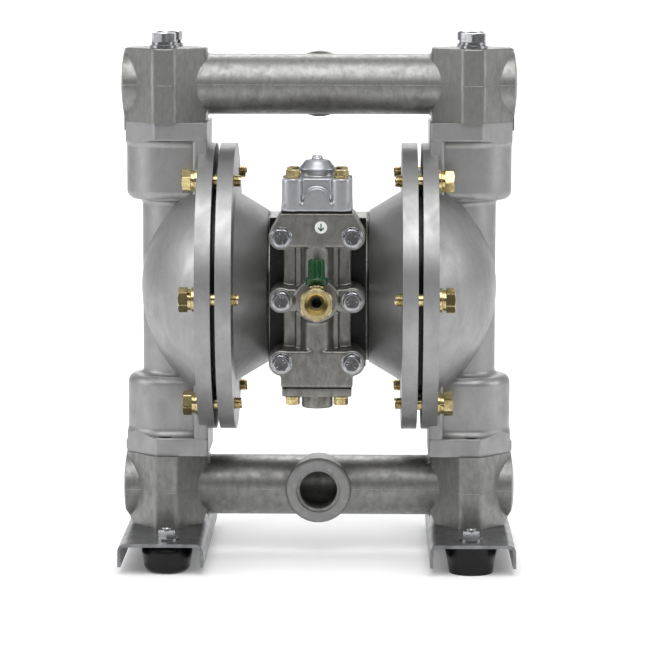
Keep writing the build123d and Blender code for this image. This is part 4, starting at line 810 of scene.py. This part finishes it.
@dataclass
class Manifolds:
    """Discharge pipe above and suction pipe below, with their bolts, seams and port threads."""

    block_top: float = 0.4049
    plate_bottom: float = 0.0224
    bolt_y: float = 0.033
    port_mouth: float = 0.0276
    port_chamfer: float = 0.0024
    port_clear: float = 0.0262
    head_turns_deg: tuple[float, ...] = (3.0, 48.0, -4.0, 95.0, 20.0, 66.0, 8.0, 31.0)
    bolt_length_mm: float = 74.5
    upper_cap_mm: float = 28.0
    lower_cap_mm: float = 28.4
    groove_mm: tuple = ((25.5, -2.6), (25.95, -2.4), (25.95, -1.5), (25.5, -1.2))

    @property
    def port_face(self) -> float:
        """Distance from the pump's middle to a port's face."""
        return self.port_mouth + self.port_chamfer

    def outline(self, cap_radius: float) -> list[tuple[float, float]]:
        """Front half of the seam's outline in plan, from the left end to the right.

        Args:
            cap_radius: Radius of the domed caps in millimetres.

        Returns:
            Corners in metres.
        """
        # pipe, slant, nose, slant to the cap, cap and its dome, in millimetres as the solid has them
        cap_x = 129.0 + 24.0 * (44.0 - cap_radius) / 29.0
        right = [(96.5, -24.0), (113.0, -43.8), (129.0, -43.8), (cap_x, -cap_radius)]
        right += [(154.1, -cap_radius), (156.3, -12.0), (156.8, -0.3)]
        left = [(-x, y) for x, y in reversed(right)]
        return [(x * MM, y * MM) for x, y in left + right]

    def seams(self, seam: CastSeam, name: str, height: float, port: str, cap_radius: float) -> None:
        """Draws one manifold's two seams; the one on the port's side stops at the port.

        Args:
            seam: How the seam is torn.
            name: Start of the pieces' names.
            height: Height of the parting plane.
            port: Side the port is on, front or back.
            cap_radius: Radius of the domed caps in millimetres.
        """
        line = self.outline(cap_radius)
        half = len(line) // 2
        pipe_y = line[half][1]
        for side, turn in (("front", 1), ("back", -1)):
            parts = {f"{name}_seam_{side}": line}
            if side == port:
                parts = {
                    f"{name}_seam_{side}_left": line[:half] + [(-self.port_clear, pipe_y)],
                    f"{name}_seam_{side}_right": [(self.port_clear, pipe_y)] + line[half:],
                }
            for title, corners in parts.items():
                seam.build(title, [(turn * x, turn * y) for x, y in corners], height)

    def build_groove(self) -> None:
        """Draws a nearly black band of painted shade where the turned groove lies behind the suction port's
        face.
        """
        shape = bmesh.new()
        ring_stack(shape, circles_mm(self.groove_mm, 96), close_ends=False)
        place = place_from((0, -self.port_face, LOWER_PIPE_Z), Side.FRONT.value)
        bmesh.ops.transform(shape, matrix=place, verts=shape.verts)
        groove = new_object("suction_port_groove_shade", shape, GROOVE_SHADE_PAINT)
        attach(groove, "frame")

    def build(self) -> None:
        """Builds what the manifolds carry."""
        self.seams(CastSeam(seed=9), "upper", UPPER_PIPE_Z, "back", self.upper_cap_mm)
        self.seams(CastSeam(seed=10), "lower", LOWER_PIPE_Z, "front", self.lower_cap_mm)
        self.build_groove()
        front, back = Side.FRONT.value, Side.BACK.value
        PortFace().build("suction_port_face", (0, -self.port_face, LOWER_PIPE_Z), front)
        PortFace().build("discharge_port_face", (0, self.port_face, UPPER_PIPE_Z), back)
        PortThread().build("discharge_port_thread", (0, self.port_mouth, UPPER_PIPE_Z), back)
        PortThread().build("suction_port_thread", (0, -self.port_mouth, LOWER_PIPE_Z), front)
        plan = [(s * SIDE_X, y) for s in SIDES for y in (-self.bolt_y, self.bolt_y)]
        spots = [((x, y, self.block_top), Side.UP.value) for x, y in plan]
        spots += [((x, y, self.plate_bottom), Side.DOWN.value) for x, y in plan]
        names = ("manifold_bolts", "manifold_flat_washers", "manifold_spring_washers")
        BoltSet(M12, self.bolt_length_mm, BRIGHT_ZINC, turns_deg=self.head_turns_deg).build(names, spots)
        log.info("manifolds dressed")


@dataclass
class Chambers:
    """The two bolted chamber pairs with their ring of bolts."""

    bolt_face: float = 0.0938
    bolt_circle: float = 0.101
    bolts: int = 6
    bolt_length_mm: float = 38.0

    def build(self) -> None:
        """Builds the chamber bolts."""
        spots = []
        for s, facing in zip(SIDES, (Side.LEFT.value, Side.RIGHT.value)):
            for t in turns(self.bolts):
                y, z = -self.bolt_circle * math.cos(t), self.bolt_circle * math.sin(t)
                spots.append(((s * self.bolt_face, y, AXIS_Z + z), facing))
        names = ("chamber_bolts", "chamber_flat_washers", "chamber_spring_washers")
        BoltSet(M10, self.bolt_length_mm, YELLOW_ZINC).build(names, spots)
        log.info("chambers dressed")


@dataclass
class AirMotor:
    """Air valve body with its covers, bolts and round label."""

    front: float = -0.105
    bolt_x: float = 0.027
    bolt_z: float = 0.0484
    screw_x: float = 0.0185
    screw_y: float = 0.0175
    spool_y: float = -0.081
    top_seat: float = AXIS_Z + 0.0934
    bottom_seat: float = AXIS_Z - 0.0748
    label_x: float = 0.0032
    label_z: float = 0.0561
    label_thick: float = 0.0003
    bolt_length_mm: float = 67.6
    top_screw_mm: float = 38.0
    bottom_screw_mm: float = 20.0
    dish_mm: float = 0.6
    dashes_deg: tuple[float, ...] = (20.0, 55.0, 200.0)

    def bolts(self) -> None:
        """Builds the valve body's bolts and the cover screws."""
        spots = [
            ((x, self.front, AXIS_Z + z), Side.FRONT.value)
            for x in (-self.bolt_x, self.bolt_x)
            for z in (-self.bolt_z, 0.0, self.bolt_z)
        ]
        names = ("valve_body_bolts", "valve_bolt_flat_washers", "valve_bolt_spring_washers")
        # the dished middles of these heads take the darker finish: painted shade
        form = {"dish_mm": self.dish_mm, "dashes_deg": self.dashes_deg, "recess": DISH_SHADE_ZINC}
        BoltSet(M8, self.bolt_length_mm, BRIGHT_ZINC, **form).build(names, spots)
        corners = [
            (x, self.spool_y + y)
            for x in (-self.screw_x, self.screw_x)
            for y in (-self.screw_y, self.screw_y)
        ]
        top = [((x, y, self.top_seat), Side.UP.value) for x, y in corners]
        bottom = [((x, y, self.bottom_seat), Side.DOWN.value) for x, y in corners]
        BoltSet(M6, self.top_screw_mm, YELLOW_ZINC).build(("top_cover_screws", "", ""), top)
        short = BoltSet(M6, self.bottom_screw_mm, YELLOW_ZINC)
        short.build(("bottom_cover_screws", "", ""), bottom)
        short.build(("", "cover_screw_washers", ""), top + bottom)

    def label_arrow(self) -> None:
        """Prints a plain green arrow on the round label, pointing down."""
        shape = bmesh.new()
        # the arrow's corners in millimetres, from the middle of the label
        outline = [(-0.45, 3.1), (0.45, 3.1), (0.45, -1.2), (1.9, 0.2), (2.5, -0.5)]
        outline += [(0.0, -3.2), (-2.5, -0.5), (-1.9, 0.2), (-0.45, -1.2)]
        middle = (self.label_x, self.front - self.label_thick, AXIS_Z + self.label_z)
        place = place_from(middle, Side.FRONT.value)
        rings = [[place @ Vector((x * MM, y * MM, h * MM)) for x, y in outline] for h in (0.0, 0.05)]
        ring_stack(shape, rings)
        arrow = new_object("label_arrow", shape, GREEN_NYLON)
        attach(arrow, "frame")

    def build(self) -> None:
        """Builds the air motor's finer pieces."""
        self.bolts()
        self.label_arrow()
        log.info("air motor dressed")


@dataclass
class InletCock:
    """Brass ball valve in front of the air motor, with its green handle; sizes in millimetres."""

    ball_y: float = 116.0
    base_y: float = 107.0
    face_y: float = 132.0
    tail: float = 12.0
    flats: float = 24.7
    corner: float = 13.0
    hex_length: float = 9.0
    body_radius: float = 10.6
    thread_radius: float = 6.6
    bore: float = 7.9
    bore_depth: float = 7.5
    way: float = 4.0
    bonnet_radius: float = 6.6
    bonnet_top: float = 13.4
    stem_radius: float = 2.65
    handle_base: float = 13.7
    collar_radius: float = 8.6
    collar_height: float = 5.3
    notch_y: float = -5.2
    notch_top: float = 1.4
    grip_radius: float = 6.5
    grip_height: float = 13.7
    flutes: int = 11
    land: float = 0.35
    bar: tuple = ((-1.2, -3.0), (1.2, -3.0), (1.2, 3.0), (-1.2, 3.0))
    bar_x: float = 2.6
    steps: int = 96

    def hex_ring(self, corner: float, depth: float) -> list[Vector]:
        """Ring of the hexagon whose corners are turned down to a radius, at a depth behind the face."""
        half = self.flats / 2
        return [polar(min(hexagon_reach(half, t), corner) * MM, t, depth * MM) for t in turns(self.steps)]

    def build_body(self) -> None:
        """Draws the valve body: hexagon with a turned face, round waist, thread and bonnet."""
        shape = bmesh.new()
        base, hexagon = self.base_y - self.face_y, -self.hex_length
        # from the tail inside the air motor forwards to the hexagon
        waist = [(self.way, base - self.tail), (self.thread_radius, base - self.tail)]
        waist += [(self.thread_radius, base), (self.body_radius - 0.5, base)]
        waist += [(self.body_radius, base + 0.6), (self.body_radius, hexagon - 0.8)]
        rings = circles_mm(waist, self.steps)
        nut = ((self.corner - 1.4, hexagon), (self.corner, 0.8 + hexagon))
        nut += ((self.corner, -1.6), (self.corner - 0.9, -0.5))
        rings += [self.hex_ring(corner, depth) for corner, depth in nut]
        # across the turned face and back down the cone of the bore
        mouth = [(11.6, -0.5), (11.3, 0.0), (10.0, 0.0), (9.0, 0.0), (self.bore, -1.2)]
        mouth += [(self.way + 0.6, -self.bore_depth), (self.way, -self.bore_depth - 0.6)]
        rings += circles_mm(mouth, self.steps)
        ring_stack(shape, rings, close_ends=False)
        face = place_from((0, -self.face_y * MM, AXIS_Z), Side.FRONT.value)
        bmesh.ops.transform(shape, matrix=face, verts=shape.verts)
        first = len(shape.verts)
        bonnet = [(self.bonnet_radius, 5.0), (self.bonnet_radius, 12.6)]
        bonnet += [(self.bonnet_radius - 0.6, self.bonnet_top)]
        bonnet += [(self.stem_radius, self.bonnet_top), (self.stem_radius, 8.0)]
        ring_stack(shape, circles_mm(bonnet, 64), close_ends=False)
        move_new(shape, first, Matrix.Translation((0, -self.ball_y * MM, AXIS_Z)))
        body = new_object("inlet_body_drawn", shape, CUT_BRASS, smooth_deg=28)
        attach(body, "frame")
        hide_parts("inlet_valve_body")

    def grip_ring(self, radius: float, height: float, depth: float) -> list[Vector]:
        """Ring of the fluted grip: flutes of that depth, broad lands between them."""
        ring = []
        for t in turns(self.steps):
            wave = 0.5 + 0.5 * math.cos(self.flutes * t)
            reach = radius - depth * max(0.0, (wave - self.land) / (1 - self.land))
            ring.append(polar(reach * MM, t, height * MM))
        return ring

    def collar_rings(self) -> list[list[Vector]]:
        """Rings of the collar, with the notch in its front that clears the stop on the bonnet."""
        wide, top = self.collar_radius, self.collar_height
        profile = [(self.stem_radius, 0.0), (wide - 0.5, 0.0), (wide, 0.5)]
        profile += [(wide, top - 0.8), (wide - 0.7, top)]
        rings = circles_mm(profile, self.steps)
        for (radius, height), ring in zip(profile, rings):
            if radius > self.stem_radius and height < top - self.notch_top:
                for point in ring:
                    point.y = max(point.y, self.notch_y * MM)
        return rings

    def build_handle(self) -> None:
        """Moulds the handle: notched collar, fluted grip and a hollow top with a cross bar."""
        shape = bmesh.new()
        grip, collar, top = self.grip_radius, self.collar_height, self.collar_height + self.grip_height
        rings = self.collar_rings()
        rings += [self.grip_ring(grip + 0.5, collar, 0.5), self.grip_ring(grip + 0.1, collar + 0.6, 1.3)]
        rings += [self.grip_ring(grip, top - 1.6, 1.3), self.grip_ring(grip - 0.35, top - 0.5, 0.9)]
        rings += circles_mm(((grip - 1.0, top), (grip - 1.7, top), (grip - 2.1, top - 1.6)), self.steps)
        ring_stack(shape, rings, close_ends=False)
        shape.faces.new(list(shape.verts)[-self.steps:])
        for x in (-self.bar_x, self.bar_x):
            ends = [
                [Vector(((x + a) * MM, b * MM, h * MM)) for a, b in self.bar]
                for h in (top - 1.7, top - 0.5)
            ]
            ring_stack(shape, ends)
        place = Matrix.Translation((0, -self.ball_y * MM, AXIS_Z + self.handle_base * MM))
        bmesh.ops.transform(shape, matrix=place, verts=shape.verts)
        handle = new_object("inlet_handle_drawn", shape, GREEN_NYLON, smooth_deg=30)
        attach(handle, "inlet_cock")
        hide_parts("inlet_handle")

    def build(self) -> None:
        """Builds the cock."""
        self.build_body()
        self.build_handle()
        log.info("inlet cock built")


@dataclass(frozen=True)
class SoftBox:
    """A square area light with its place, what it looks at, its width and its power in watts."""

    name: str
    place: tuple[float, float, float]
    target: tuple[float, float, float]
    width: float
    watts: float

    def build(self) -> None:
        """Hangs the light."""
        data = bpy.data.lights.new(self.name, "AREA")
        data.shape = "SQUARE"
        data.size = self.width
        data.energy = self.watts
        lamp = bpy.data.objects.new(self.name, data)
        lamp.location = self.place
        way = Vector(self.target) - Vector(self.place)
        lamp.rotation_euler = way.to_track_quat("-Z", "Y").to_euler()
        bpy.context.scene.collection.objects.link(lamp)


SOFT_BOXES = (
    SoftBox("top_box", (0.0, -0.75, 1.3), (0.0, 0.0, 0.25), 1.1, 12.0),
    SoftBox("left_box", (-1.6, -0.5, 0.8), (0.0, 0.0, 0.2), 0.9, 9.0),
    SoftBox("right_box", (1.7, -0.4, 0.8), (0.0, 0.0, 0.2), 0.9, 7.0),
    SoftBox("backdrop_box", (0.0, 2.3, 2.4), (0.0, 2.9, 0.0), 2.0, 60.0),
)

# Matt white paint of the studio floor, rolled on: an even pale ground that throws light back up.
PALE_FLOOR = Finish(
    "pale_floor", "F7F7F7", "F4F4F4", roughness=0.8, mottle_mm=400, grain_depth_mm=0.001, glow=0.14
)


@dataclass
class Studio:
    """Camera at the photograph's place, soft lights, and a pale floor that runs up into a backdrop."""

    eye: tuple[float, float, float] = (0.04013, -2.34315, 0.47311)
    pitch_down_deg: float = 7.053
    yaw_left_deg: float = 0.865
    roll_deg: float = 0.068
    focal_mm: float = 163.2
    floor_half: float = 6.0
    sweep_start: float = 3.0
    sweep_radius: float = 1.2
    sweep_steps: int = 16
    backdrop_height: float = 4.0

    def camera(self) -> None:
        """Sets the camera that gives the photograph's frame."""
        data = bpy.data.cameras.new("camera")
        data.lens = self.focal_mm
        data.sensor_width = 36.0
        data.clip_end = 50.0
        eye = bpy.data.objects.new("camera", data)
        eye.matrix_world = (
            Matrix.Translation(self.eye)
            @ Matrix.Rotation(math.radians(self.yaw_left_deg), 4, "Z")
            @ Matrix.Rotation(math.radians(90 - self.pitch_down_deg), 4, "X")
            @ Matrix.Rotation(math.radians(self.roll_deg), 4, "Z")
        )
        bpy.context.scene.collection.objects.link(eye)
        bpy.context.scene.camera = eye

    def surround(self) -> None:
        """Adds a surround that is bright above and dim in front of the pump."""
        world = bpy.data.worlds.new("studio")
        world.use_nodes = True
        tree = world.node_tree
        tree.nodes.clear()
        way = add_node(tree, "ShaderNodeTexCoord").outputs["Generated"]
        parts = add_node(tree, "ShaderNodeSeparateXYZ", links={"Vector": way}).outputs
        smooth = {"interpolation_type": "SMOOTHSTEP"}
        level = add_node(
            tree,
            "ShaderNodeMapRange",
            {**smooth, "From Min": -0.9, "From Max": 0.3, "To Min": 0.1, "To Max": 0.55},
            {"Value": parts["Y"]},
        ).outputs["Result"]
        strength = add_node(
            tree,
            "ShaderNodeMapRange",
            {**smooth, "From Min": 0.1, "From Max": 0.8, "To Max": 0.6},
            {"Value": parts["Z"], "To Min": level},
        ).outputs["Result"]
        sky = add_node(tree, "ShaderNodeBackground", {"Color": linear("FBFBFF")}, {"Strength": strength})
        add_node(tree, "ShaderNodeOutputWorld", links={"Surface": sky.outputs["Background"]})
        bpy.context.scene.world = world

    def floor(self) -> None:
        """Lays the pale floor, with a swept backdrop behind."""
        mesh = bpy.data.meshes.new("floor")
        half, back, radius, steps = self.floor_half, self.sweep_start, self.sweep_radius, self.sweep_steps
        rows = [(-half, 0.0), (back, 0.0)]
        for n in range(1, steps + 1):
            turn = math.pi / 2 * n / steps
            rows.append((back + radius * math.sin(turn), radius - radius * math.cos(turn)))
        rows.append((back + radius, self.backdrop_height))
        verts = [(x, y, z) for y, z in rows for x in (-half, half)]
        faces = [(2 * n, 2 * n + 1, 2 * n + 3, 2 * n + 2) for n in range(len(rows) - 1)]
        mesh.from_pydata(verts, [], faces)
        mesh.polygons.foreach_set("use_smooth", [True] * len(faces))
        floor = bpy.data.objects.new("floor", mesh)
        bpy.context.scene.collection.objects.link(floor)
        dress(floor, PALE_FLOOR)

    def build(self) -> None:
        """Builds the studio."""
        view = bpy.context.scene.view_settings
        view.view_transform = "Standard"
        view.look = "None"
        self.camera()
        self.surround()
        for box in SOFT_BOXES:
            box.build()
        self.floor()


SKINS = (
    CastSkin("valve_top_cover", DIE_CASTING, 0.6, 22),
    # the bottom cover takes the darker tumbled grey instead of the top cover's die-cast finish: painted shade
    # on the cover underneath
    CastSkin("valve_bottom_cover", TUMBLED_CASTING, 0.6, 6),
    CastSkin("air_valve_body", TUMBLED_CASTING, 0.85, 6),
)


def main() -> None:
    """Dresses the solids, builds the finer pieces and the studio, and reports each."""
    logging.basicConfig(level=logging.INFO, format="%(message)s")
    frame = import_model()
    slots = {entry["node"]: entry["material_slot"] for entry in frame["record"]["subparts"]}
    for name, node in frame["nodes"].items():
        dress(node, SLOT_FINISH[slots[name]])
    for assembly in (Manifolds(), Chambers(), AirMotor(), InletCock()):
        assembly.build()
    for skin in SKINS:
        skin.build(frame["nodes"][skin.node], slots[skin.node])
    Studio().build()
    log.info("studio built")


if __name__ == "__main__":
    main()
